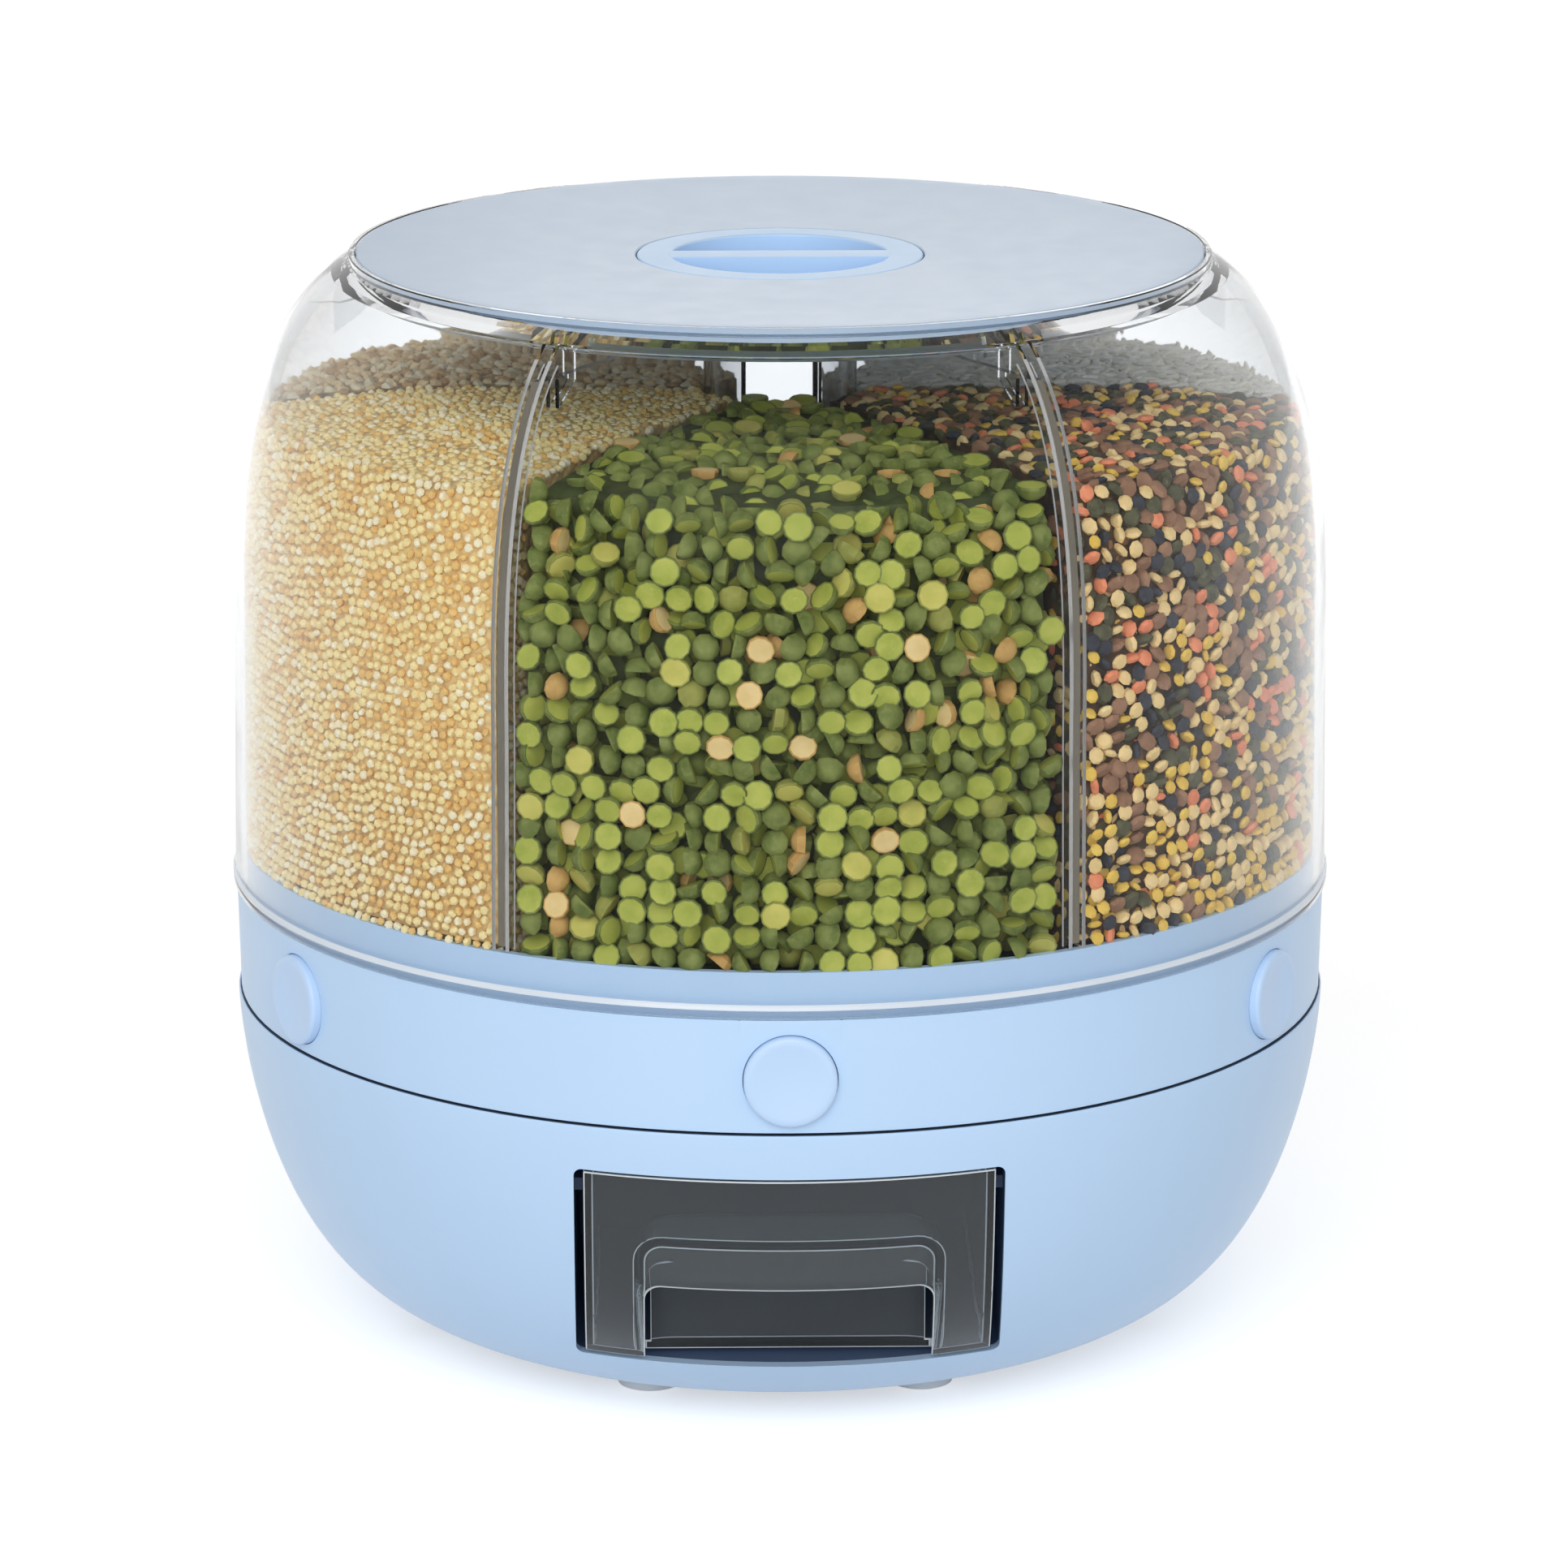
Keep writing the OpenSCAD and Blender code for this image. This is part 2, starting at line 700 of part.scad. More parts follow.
module drum_floor() {
    color(plastic_blue) difference() {
        union() {
            turned(concat(floor_path, reversed(inset(floor_path, -floor_t))));
            ring(rim_inner_r, rim_outer_r, rim_bottom, rim_top);
            floor_hub();
            floor_race();
            at_stations() button_pod();
            at_stations() gate_rails();
            at_ring_screws() translate([0, 0, ring_bottom + lug_rise + lug_t + seat_gap])
                cylinder(r = post_r, h = post_top - ring_bottom - lug_rise - lug_t - seat_gap);
        }
        at_stations() {
            radial_box(outlet_w, outlet_r - outlet_l / 2, outlet_r + outlet_l / 2,
                ring_bottom, land_z + cut);
            pod_space();
        }
        rotate_extrude() translate([race_r, ball_z]) circle(r = ball_r + race_play);
        cylinder(r = spindle_r + spindle_clearance, h = shell_top);
        at_ring_screws() cylinder(r = screw_r + screw_clearance,
            h = ring_bottom + lug_rise + ring_screw_l + seat_gap);
    }
}

// The hub that turns on the spindle and carries the divider's tube
module floor_hub() {
    web_outer = hub_foot_r;
    turned([[spigot_r - hub_wall, hub_web_z], [web_outer, hub_web_z], [web_outer, hub_foot_z],
        [spigot_r, hub_foot_z], [spigot_r, hub_foot_z + spigot_h],
        [spigot_r - hub_wall, hub_foot_z + spigot_h]]);
    ring(0, spigot_r, hub_web_z, hub_web_z + hub_web_t);
    ring(0, spindle_r + hub_boss_wall, race_top + 2, hub_web_z + hub_web_t);
}

// The web and race under the floor that run on the balls
module floor_race() {
    ring(race_r - race_half, race_r + race_half, race_top, race_top + race_flange_t);
    ring(race_r - race_web_t / 2, race_r + race_web_t / 2, race_top,
        floor_height(race_r + race_web_t / 2) - floor_t / 2);
}

// Height of the floor's inner cone at a radius
function floor_height(radius) =
    lookup(radius, [floor_path[0], floor_path[1]]);

// The housing over a button's barrel, closed at its inner end
module button_pod() {
    radial_rod(pod_r, pod_end - pod_wall, sleeve_end - seat_gap, button_z);
}

// The space inside the housing, and all of the housing below the floor's land
module pod_space() {
    radial_rod(button_hole_r + seat_gap, pod_end, body_r, button_z);
    radial_box(2 * (button_hole_r + seat_gap), pod_end, body_r, ring_bottom - cut, button_z);
    radial_box(2 * pod_r + 2, pod_end - pod_wall - cut, rim_inner_r - 3, ring_bottom - cut,
        pod_floor_z);
}

// The rails that carry a gate under the floor
module gate_rails() {
    outer_x = gate_w / 2 + seat_gap + rail_t;
    lip_x = gate_w / 2 + seat_gap - rail_lip;
    from = outlet_r - outlet_l / 2 - land_margin - 1;
    to = outlet_r + outlet_l / 2 + land_margin + 1;
    lip_bottom = gate_z - seat_gap - rail_lip;
    for (side = [-1, 1]) {
        translate([side * (outer_x - rail_t / 2), 0, 0])
            radial_box(rail_t, from, to, lip_bottom, land_z - floor_t / 2);
        translate([side * (lip_x + outer_x) / 2, 0, 0])
            radial_box(outer_x - lip_x, from, to, lip_bottom, gate_z - seat_gap);
    }
}

module ring_screws() {
    color(steel) at_ring_screws() screw_up(ring_bottom + lug_rise, ring_screw_l - 1);
}

module clear_shell() {
    color(plastic_clear) difference() {
        union() {
            turned(concat(shell_path, reversed(inset(shell_path, shell_wall))));
            ring(neck_r, collar_r, shell_top - neck_h, shell_top);
            turned([[shell_r - 1, shell_bottom], [body_r + bead_step, shell_bottom],
                [body_r + bead_step, shell_bottom + bead_h], [shell_r - 1, shell_bottom + bead_h + 1]]);
            lid_ledge();
            vane_ribs();
        }
        translate([0, 0, ledge_top]) cylinder(r = neck_r, h = neck_h);
        translate([0, 0, shell_top]) cylinder(r = body_r, h = neck_h);
        translate([0, 0, shell_bottom - neck_h]) cylinder(r = body_r + bead_h, h = neck_h);
    }
}

// The ledge in the neck that carries the lid, broken at each vane
module lid_ledge() {
    difference() {
        ring(neck_r - ledge_w, neck_r + neck_wall / 2, shell_top - neck_h, ledge_top);
        for (a = post_azimuths) at_azimuth(a) radial_box(ledge_break, 0, neck_r,
            shell_top - neck_h - cut, ledge_top + cut);
    }
}

// Two ribs at each vane, with the vane's edge between them
module vane_ribs() {
    gusset_l = 7;
    gusset_reach = 5;
    outline = concat(inset(rib_path, shell_wall / 2),
        reversed(inset(rib_path, shell_wall + rib_depth)));
    gusset = [[neck_r - ledge_w, ledge_top], [neck_r - ledge_w, vane_top - 1.5],
        [neck_r + gusset_reach, vane_top - gusset_l], [neck_r + gusset_reach, ledge_top]];
    for (a = post_azimuths, side = [-1, 1]) at_azimuth(a) translate([side * rib_offset, 0, 0]) {
        upright(rib_t) polygon(outline);
        upright(rib_t) polygon(gusset);
    }
}

// A plate of a thickness standing on the YZ plane; its outline is [radius, height]
module upright(thickness) {
    rotate([0, 0, -90]) rotate([90, 0, 0])
        linear_extrude(height = thickness, center = true) children();
}

module divider() {
    bottom_edge = concat([[vane_root_r, hub_foot_z + seat_gap]], inset(floor_path, seat_gap));
    edge_r = rim_inner_r - 2 * seat_gap;
    outline = concat(
        [for (p = bottom_edge) if (p[0] < edge_r) p],
        [[edge_r, floor_edge_z + seat_gap], [edge_r, rim_top + seat_gap]],
        [for (p = vane_edge) if (p[1] > rim_top + 1 && p[1] < vane_top) p],
        [[lookup(vane_top, vane_edge_by_z), vane_top], [vane_root_r, vane_top]]);
    color(plastic_clear) union() {
        ring(hub_r - hub_wall, hub_r, hub_foot_z + seat_gap, vane_top);
        for (a = post_azimuths) at_azimuth(a) upright(vane_t) polygon(outline);
    }
}

module hub_cap() {
    plug_h = 4;
    color(plastic_clear) {
        translate([0, 0, vane_top + seat_gap]) cylinder(r = hub_r, h = hub_cap_t);
        translate([0, 0, vane_top - plug_h])
            cylinder(r = hub_r - hub_wall - seat_gap, h = plug_h + seat_gap);
    }
}

// ---------------------------------------------------------------- lid

// Height of the lid's dished top at a radius
function lid_height(radius) = lid_centre_z + lid_dish * pow(radius / lid_r, 2);

module lid() {
    top_path = [for (i = [0:lid_steps])
        let (r = grip_hole_r + (lid_r - grip_hole_r) * i / lid_steps) [r, lid_height(r)]];
    skirt_bottom = shell_top - lid_skirt_h;
    groove_top = shell_top - gasket_drop;
    seat_z = lid_height(grip_flange_r) - grip_flange_t - seat_gap;
    color(plastic_blue) difference() {
        union() {
            turned(concat(top_path, reversed([for (p = top_path) p - [0, lid_t]])));
            ring(lid_skirt_r - gasket_depth - lid_skirt_t, lid_skirt_r, skirt_bottom,
                shell_top - lid_t / 2);
            ring(grip_hole_r, grip_flange_r + grip_ledge_w, seat_z - lid_t, seat_z);
        }
        ring(lid_skirt_r - gasket_depth, lid_r + cut, groove_top - gasket_h, groove_top);
        translate([0, 0, seat_z]) cylinder(r = grip_flange_r + seat_gap, h = lid_t + lid_dish);
    }
}

module lid_grip() {
    top = lid_height(grip_flange_r);
    bottom = top - grip_depth - grip_wall;
    color(plastic_blue) difference() {
        union() {
            translate([0, 0, bottom]) cylinder(r = grip_r + grip_wall, h = top - bottom);
            translate([0, 0, top - grip_flange_t]) cylinder(r = grip_flange_r, h = grip_flange_t);
        }
        difference() {
            translate([0, 0, top - grip_depth]) cylinder(r = grip_r, h = grip_depth + cut);
            translate([-grip_r - cut, -grip_bar_w / 2, bottom])
                cube([2 * (grip_r + cut), grip_bar_w, top - bottom]);
        }
        translate([-grip_r, -grip_bar_w / 2 + grip_wall, bottom - cut])
            cube([2 * grip_r, grip_bar_w - 2 * grip_wall, grip_depth]);
    }
}

module lid_seal() {
    top = shell_top - gasket_drop - gasket_play;
    color(seal_white) ring(lid_skirt_r - gasket_depth + gasket_play, neck_r - gasket_reach,
        top - gasket_h + 2 * gasket_play, top);
}

// ---------------------------------------------------------------- drawer

module drawer_tray() {
    pocket_top = drawer_bottom + pocket_h;
    wall = drawer_wall;
    color(plastic_clear) difference() {
        union() {
            difference() {
                drawer_block(face_inset, drawer_half, drawer_back, drawer_bottom);
                drawer_block(face_inset + wall, drawer_half - wall, drawer_back + wall,
                    drawer_bottom + wall, cut);
            }
            intersection() {
                drawer_block(face_inset, drawer_half, drawer_back, drawer_bottom);
                pocket_block(wall, drawer_bottom, pocket_top + wall);
            }
            for (side = [-1, 1]) translate([side * stop_x, 0, 0]) radial_box(stop_w,
                drawer_back, drawer_back + wall, drawer_top - wall, drawer_top + stop_tab_h);
        }
        intersection() {
            bowl_solid(face_inset + wall, base_top);
            pocket_block(0, drawer_bottom - cut, pocket_top);
        }
        face_cut();
    }
}

// The drawer's outer block, or its inside: it follows the bowl at the front
module drawer_block(distance, half, back, bottom, over = 0) {
    intersection() {
        bowl_solid(distance, base_top);
        radial_box(2 * half, back, body_r, bottom, drawer_top + over);
    }
}

// The finger pocket with its rear corners rounded, grown by a margin
module pocket_block(margin, bottom, top) {
    width = pocket_w + 2 * margin;
    depth = body_r;
    translate([0, -pocket_back + margin - depth / 2, bottom]) linear_extrude(height = top - bottom)
        rounded_rectangle(width, depth, pocket_corner + margin);
}

// The cut-out in the drawer's face
module face_cut() {
    height = 2 * pocket_cut_h;
    translate([0, -pocket_back, drawer_bottom]) rotate([90, 0, 0])
        linear_extrude(height = body_r) rounded_rectangle(pocket_w, height, pocket_cut_corner);
}

// ---------------------------------------------------------------- stations

module button(k) {
    face = body_r + button_out;
    color(plastic_blue) at_azimuth((k - 1) * station_step) difference() {
        radial_rod(button_r, barrel_end, face, button_z);
        difference() {
            radial_rod(button_r - barrel_wall, barrel_end - cut, face - button_face_t, button_z);
            radial_rod(pin_r, face - button_face_t - pin_l, face, button_z);
        }
        if (button_hollow > 0) translate([0, -face, button_z])
            rotate([90, 0, 0]) button_dish();
    }
}

// A shallow ball cut from a button's face
module button_dish() {
    half = button_r - barrel_wall;
    dish_r = (half * half + button_hollow * button_hollow) / (2 * button_hollow);
    translate([0, 0, dish_r - button_hollow]) sphere(r = dish_r, $fn = 128);
}

module gate(k) {
    open_outer = outlet_r + outlet_l / 2 + press_travel;
    prong_x = button_r - prong_w / 2;
    color(plastic_white) at_azimuth((k - 1) * station_step) difference() {
        union() {
            radial_box(gate_w, gate_inner, gate_outer - prong_t - gate_shoulder, gate_z,
                gate_z + gate_t);
            radial_box(2 * button_r, gate_outer - prong_t - gate_shoulder - 1, gate_outer, gate_z,
                gate_z + gate_t);
            for (side = [-1, 1]) translate([side * prong_x, 0, 0])
                radial_box(prong_w, gate_outer - prong_t, gate_outer, gate_z, prong_top);
        }
        radial_box(outlet_w, open_outer - outlet_l, open_outer, gate_z - cut, gate_z + gate_t + cut);
        radial_box(2 * (spring_r + 2 * seat_gap), pod_end - seat_gap, body_r, gate_z - cut,
            prong_top + cut);
    }
}

module spring(k) {
    color(steel) at_azimuth((k - 1) * station_step) difference() {
        radial_rod(spring_r, spring_seat + spring_play, spring_end - spring_play, button_z);
        radial_rod(spring_r - spring_wire, spring_seat, spring_end, button_z);
    }
}

// ---------------------------------------------------------------- assembly

base_shell();
base_deck();
drawer_tunnel();
tunnel_screws();
deck_screws();
rubber_feet();
spindle();
ball_cage();
bearing_balls();
spindle_washer();
spindle_screw();
drum_ring();
drum_floor();
ring_screws();
clear_shell();
divider();
hub_cap();
lid();
lid_grip();
lid_seal();
drawer_tray();
for (k = [1:STATIONS]) {
    button(k);
    gate(k);
    spring(k);
}
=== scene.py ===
"""Looks of a rotating grain dispenser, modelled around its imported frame.

A round blue base with a clear drawer carries a turning drum: a ring with six
sprung buttons, a clear domed shell, and six clear vanes round a hub. Five of
the six compartments hold grain. Shapes are made in millimetres and scaled to
metres when a piece is finished. An azimuth is counted from the front, which
faces -Y, anticlockwise seen from above.
"""

import logging
import math
import random
from collections.abc import Callable, Iterable, Sequence
from dataclasses import dataclass, field
from enum import Enum
from functools import cache
from itertools import product

import bmesh
import bpy
from mathutils import Matrix, Vector

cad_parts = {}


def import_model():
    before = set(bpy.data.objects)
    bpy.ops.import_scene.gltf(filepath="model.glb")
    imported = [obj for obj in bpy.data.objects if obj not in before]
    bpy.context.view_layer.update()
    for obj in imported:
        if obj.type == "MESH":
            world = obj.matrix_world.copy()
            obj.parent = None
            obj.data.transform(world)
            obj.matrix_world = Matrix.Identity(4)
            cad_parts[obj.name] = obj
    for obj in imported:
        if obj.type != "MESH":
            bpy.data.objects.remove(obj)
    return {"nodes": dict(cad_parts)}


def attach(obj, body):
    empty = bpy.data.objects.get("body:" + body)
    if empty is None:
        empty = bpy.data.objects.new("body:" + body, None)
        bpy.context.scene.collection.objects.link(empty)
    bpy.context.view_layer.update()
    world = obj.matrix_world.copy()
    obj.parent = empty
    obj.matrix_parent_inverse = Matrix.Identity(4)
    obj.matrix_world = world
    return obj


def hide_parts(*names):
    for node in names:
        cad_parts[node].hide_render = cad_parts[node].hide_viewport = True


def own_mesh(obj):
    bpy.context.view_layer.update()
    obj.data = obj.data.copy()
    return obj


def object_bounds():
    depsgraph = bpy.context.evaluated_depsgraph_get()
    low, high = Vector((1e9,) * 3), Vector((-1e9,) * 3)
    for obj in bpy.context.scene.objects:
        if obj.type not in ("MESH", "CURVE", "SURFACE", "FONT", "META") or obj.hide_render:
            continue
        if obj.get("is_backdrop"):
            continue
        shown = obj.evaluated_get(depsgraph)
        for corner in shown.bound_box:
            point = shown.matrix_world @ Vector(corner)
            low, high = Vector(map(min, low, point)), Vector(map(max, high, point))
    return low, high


LOG = logging.getLogger("dispenser")

MM = 0.001  # what Blender's metres make of a millimetre
STATIONS = 6
STATION_STEP = math.tau / STATIONS
HALF_STEP = STATION_STEP / 2
SHARP = math.radians(32)
ROW = 0.87  # how close rows of grains nest, as a share of their spacing
FORMS = 3  # how many forms a kind of grain has in each coat
SHIFT = 0.2  # how far a grain may shift, as a share of its spacing
ROUND_STEPS = 144
SMALL_STEPS = 48
MERGE = 1e-4  # corners nearer than this, in millimetres, are one

Point = tuple[float, float]
Colour = tuple[int, int, int]
Place = tuple[Vector, Vector]
Mesh = bmesh.types.BMesh


class Slot(str, Enum):
    """The record's material slots, one named for each new piece."""

    BLUE = "blue_plastic"
    CLEAR = "clear_plastic"
    DRAWER = "drawer_plastic"
    SPRING = "spring_steel"
    RUBBER = "rubber"
    SILICONE = "silicone"
    PEAS = "green_split_peas"
    QUINOA = "quinoa"
    LENTILS = "mixed_lentils"
    RICE = "white_rice"
    WHEAT = "cracked_wheat"


class Solid(str, Enum):
    """How one solid changes another."""

    ADD = "UNION"
    CUT = "DIFFERENCE"
    KEEP = "INTERSECT"


def linear(colour: Colour) -> tuple[float, float, float, float]:
    """A colour as it looks, 0 to 255, in the linear light that shaders use."""
    shares = (value / 255 for value in colour)
    return (*(s / 12.92 if s <= 0.04045 else ((s + 0.055) / 1.055) ** 2.4 for s in shares), 1.0)


# ---------------------------------------------------------------- shaders


@dataclass(frozen=True)
class Signal:
    """An output of a shader node; arithmetic on it adds Math nodes."""

    shader: "Shader"
    socket: bpy.types.NodeSocket

    def _math(self, operation: str, *values: "Signal | float") -> "Signal":
        """A Math node on these values."""
        inputs = dict(enumerate(values))
        return self.shader.node("ShaderNodeMath", {"operation": operation}, inputs)

    def __add__(self, other: "Signal | float") -> "Signal":
        """self + other."""
        return self._math("ADD", self, other)

    def __radd__(self, other: float) -> "Signal":
        """other + self."""
        return self._math("ADD", other, self)

    def __sub__(self, other: "Signal | float") -> "Signal":
        """self - other."""
        return self._math("SUBTRACT", self, other)

    def __rsub__(self, other: float) -> "Signal":
        """other - self."""
        return self._math("SUBTRACT", other, self)

    def __mul__(self, other: "Signal | float") -> "Signal":
        """self * other."""
        return self._math("MULTIPLY", self, other)

    def __rmul__(self, other: float) -> "Signal":
        """other * self."""
        return self._math("MULTIPLY", other, self)

    def most(self, other: "Signal | float") -> "Signal":
        """The larger of self and other."""
        return self._math("MAXIMUM", self, other)

    def beside(self, name: str) -> "Signal":
        """Another output of the same node."""
        return Signal(self.shader, self.socket.node.outputs[name])


class Shader:
    """The node tree of one material or world."""

    def __init__(self, owner: "bpy.types.Material | bpy.types.World", output: str) -> None:
        """Empties the owner's tree and gives it an output node.

        Args:
            owner: the material or world.
            output: the type of its output node.
        """
        owner.use_nodes = True
        self.tree = owner.node_tree
        self.tree.nodes.clear()
        self.output = self.tree.nodes.new(output)

    def node(self, kind: str, settings: "dict | None" = None, inputs: "dict | None" = None) -> Signal:
        """Adds a node.

        Args:
            kind: the node's type.
            settings: its properties, set before its inputs; "stops" are a ramp's.
            inputs: a value or a Signal for each named or numbered input.

        Returns:
            Its first output that is in use.
        """
        node = self.tree.nodes.new(kind)
        for name, value in (settings or {}).items():
            if name == "stops":
                self._set_stops(node.color_ramp, value)
            else:
                setattr(node, name, value)
        for name, value in (inputs or {}).items():
            if isinstance(value, Signal):
                self.tree.links.new(value.socket, node.inputs[name])
            else:
                node.inputs[name].default_value = value
        return Signal(self, next(o for o in node.outputs if o.enabled))

    @staticmethod
    def _set_stops(ramp: bpy.types.ColorRamp, stops: "Sequence[tuple[float, tuple]]") -> None:
        """Gives a ramp its (place, colour) stops.

        Args:
            ramp: the ramp.
            stops: its places, from 0 to 1, and their colours.
        """
        for index, (place, colour) in enumerate(stops):
            stop = ramp.elements[index] if index < 2 else ramp.elements.new(place)
            stop.position = place
            stop.color = colour

    def noise(self, scale: float, detail: float = 2.0) -> Signal:
        """Noise on Object coordinates, from 0 to 1.

        Args:
            scale: how many of its lumps a metre holds.
            detail: how many octaves it has.

        Returns:
            The noise.
        """
        place = self.node("ShaderNodeTexCoord").beside("Object")
        return self.node("ShaderNodeTexNoise", {"noise_dimensions": "3D"},
                         {"Vector": place, "Scale": scale, "Detail": detail})

    def between(self, share: Signal, first: Colour, second: Colour) -> Signal:
        """A colour that goes from first to second as share goes from 0 to 1."""
        return self.node("ShaderNodeMix", {"data_type": "RGBA"},
                         {"Factor": share, 6: linear(first), 7: linear(second)})

    def bump(self, height: Signal, strength: float, distance: float) -> Signal:
        """A bump normal.

        Args:
            height: what stands up.
            strength: from 0 to 1.
            distance: the height of 1, in millimetres.

        Returns:
            The normal.
        """
        return self.node("ShaderNodeBump", None,
                         {"Height": height, "Strength": strength, "Distance": distance * MM})

    def show(self, surface: Signal) -> None:
        """Links the finished shader to the output."""
        self.tree.links.new(surface.socket, self.output.inputs["Surface"])


# --------------------------------------------------------------- finishes


@dataclass(frozen=True)
class Finish:
    """A finish; its material is made when it is first asked for."""

    name: str

    @cache
    def material(self) -> bpy.types.Material:
        """The finish's material, made once.

        Returns:
            The material, the same one each time.
        """
        made = bpy.data.materials.new(self.name)
        shader = Shader(made, "ShaderNodeOutputMaterial")
        shader.show(self.surface(shader))
        return made

    def surface(self, shader: Shader) -> Signal:
        """The nodes that make the surface."""
        raise NotImplementedError


@dataclass(frozen=True)
class MouldedPlastic(Finish):
    """Opaque plastic: faintly clouded colour, soft gloss, a fine skin and slow waves."""

    colour: Colour
    cloud: Colour
    roughness: float = 0.3
    skin: float = 0.003

    def surface(self, shader: Shader) -> Signal:
        """A Principled shader; the skin is in millimetres.

        Args:
            shader: the material's tree.

        Returns:
            The finished shader.
        """
        skin = shader.noise(1400) + 18 * shader.noise(40)
        return shader.node("ShaderNodeBsdfPrincipled", None, {
            "Base Color": shader.between(shader.noise(22, 4), self.colour, self.cloud),
            "Roughness": self.roughness + 0.1 * shader.noise(130, 4),
            "IOR": 1.46,
            "Normal": shader.bump(skin, 1.0, self.skin)})


@dataclass(frozen=True)
class ClearPlastic(Finish):
    """Clear plastic that bends light and is greyer edge on; the lamps shine through it.

    The veil is the share of light that it scatters, so that it looks smoky.
    """

    body: Colour
    edge: Colour
    roughness: float = 0.01
    gloss: float = 0.08
    veil: float = 0.0

    def surface(self, shader: Shader) -> Signal:
        """Glass for what is seen, and a tinted gap for shadow and diffuse rays.

        Args:
            shader: the material's tree.

        Returns:
            The finished shader.
        """
        path = shader.node("ShaderNodeLightPath")
        aside = shader.node("ShaderNodeLayerWeight", None, {"Blend": 0.16}).beside("Facing")
        glass = shader.node("ShaderNodeBsdfPrincipled", None, {
            "Base Color": shader.between(aside.most(0.15 * shader.noise(30)), self.body, self.edge),
            "Transmission Weight": 1.0 - self.veil,
            "IOR": 1.49,
            "Specular Tint": (self.gloss, self.gloss, self.gloss, 1.0),
            "Roughness": self.roughness + 0.02 * shader.noise(70, 3),
            "Normal": shader.bump(shader.noise(28), 0.4, 0.12)})
        gap = shader.node("ShaderNodeBsdfTransparent", None, {"Color": linear(self.body)})
        unseen = path.beside("Is Shadow Ray").most(path.beside("Is Diffuse Ray"))
        return shader.node("ShaderNodeMixShader", None, {0: unseen, 1: glass, 2: gap})


@dataclass(frozen=True)
class Metal(Finish):
    """Drawn or turned steel with a fine tooth."""

    colour: Colour
    roughness: float = 0.25

    def surface(self, shader: Shader) -> Signal:
        """A metallic Principled shader.

        Args:
            shader: the material's tree.

        Returns:
            The finished shader.
        """
        tooth = shader.noise(3000, 3)
        return shader.node("ShaderNodeBsdfPrincipled", None, {
            "Base Color": shader.between(tooth, self.colour, tuple(int(c * 0.85) for c in self.colour)),
            "Metallic": 1.0,
            "Roughness": self.roughness + 0.2 * shader.noise(500, 3),
            "Normal": shader.bump(tooth, 0.6, 0.01)})


@dataclass(frozen=True)
class Husk(Finish):
    """A grain's own surface: two colours in patches, dust, and fine wrinkles."""

    colour: Colour
    patch: Colour
    dust: Colour
    lumps: float = 260.0
    roughness: float = 0.55
    wrinkle: float = 0.12

    def surface(self, shader: Shader) -> Signal:
        """A Principled shader with patches, and dust where fine noise is high.

        Args:
            shader: the material's tree.

        Returns:
            The finished shader.
        """
        stops = ((0.35, linear(self.colour)), (0.68, linear(self.patch)))
        patches = shader.node("ShaderNodeValToRGB", {"stops": stops},
                              {"Fac": shader.noise(self.lumps, 3)})
        fine = shader.noise(1500, 4)
        dusty = shader.node("ShaderNodeMapRange", None, {
            "Value": fine, "From Min": 0.55, "From Max": 0.85, "To Min": 0.0, "To Max": 0.5})
        colour = shader.node("ShaderNodeMix", {"data_type": "RGBA"},
                             {"Factor": dusty, 6: patches, 7: linear(self.dust)})
        return shader.node("ShaderNodeBsdfPrincipled", None, {
            "Base Color": colour,
            "Roughness": self.roughness + 0.2 * fine,
            "Specular IOR Level": 0.25,
            "Normal": shader.bump(fine, 0.7, self.wrinkle)})


@dataclass(frozen=True)
class Heap(Finish):
    """The unseen inside of a fill, lumpy like its grain, in painted shade: darker than its loose
    grains, and darkest in the gaps between its lumps.
    """

    # painted shade: the colour of the shadowed gaps between lumps
    gap: Colour
    grain: Colour
    size: float

    def surface(self, shader: Shader) -> Signal:
        """A Principled shader on a Voronoi pattern, darkening to the gap colour between lumps as
        painted shade; size is a grain's, in millimetres.

        Args:
            shader: the material's tree.

        Returns:
            The finished shader.
        """
        place = shader.node("ShaderNodeTexCoord").beside("Object")
        away = shader.node("ShaderNodeTexVoronoi", None,
                           {"Vector": place, "Scale": 1 / (self.size * MM)})
        return shader.node("ShaderNodeBsdfPrincipled", None, {
            "Base Color": shader.between(away, self.grain, self.gap),
            "Roughness": 0.6 + 0.2 * shader.noise(400),
            "Normal": shader.bump(1 - away, 1.0, 0.3 * self.size)})


BLUE = MouldedPlastic("moulded_blue", (190, 219, 249), (186, 215, 246))
# The lid is the same blue plastic, made darker and greyer: painted shade, as less light falls on its
# top, and painted sheen.
BLUE_LID_SHADE_SHEEN = MouldedPlastic("moulded_blue_lid_painted_shade_sheen", (182, 201, 222), (178, 197, 219), 0.27)
BLUE_BUTTON = MouldedPlastic("moulded_blue_button", (192, 218, 250), (188, 215, 247))
# Painted shade: a dark blue for the faces down in the seams' gaps, standing in for their shadow.
SEAM_SHADE = MouldedPlastic("moulded_seam_painted_shade", (58, 72, 92), (50, 63, 82), 0.5)
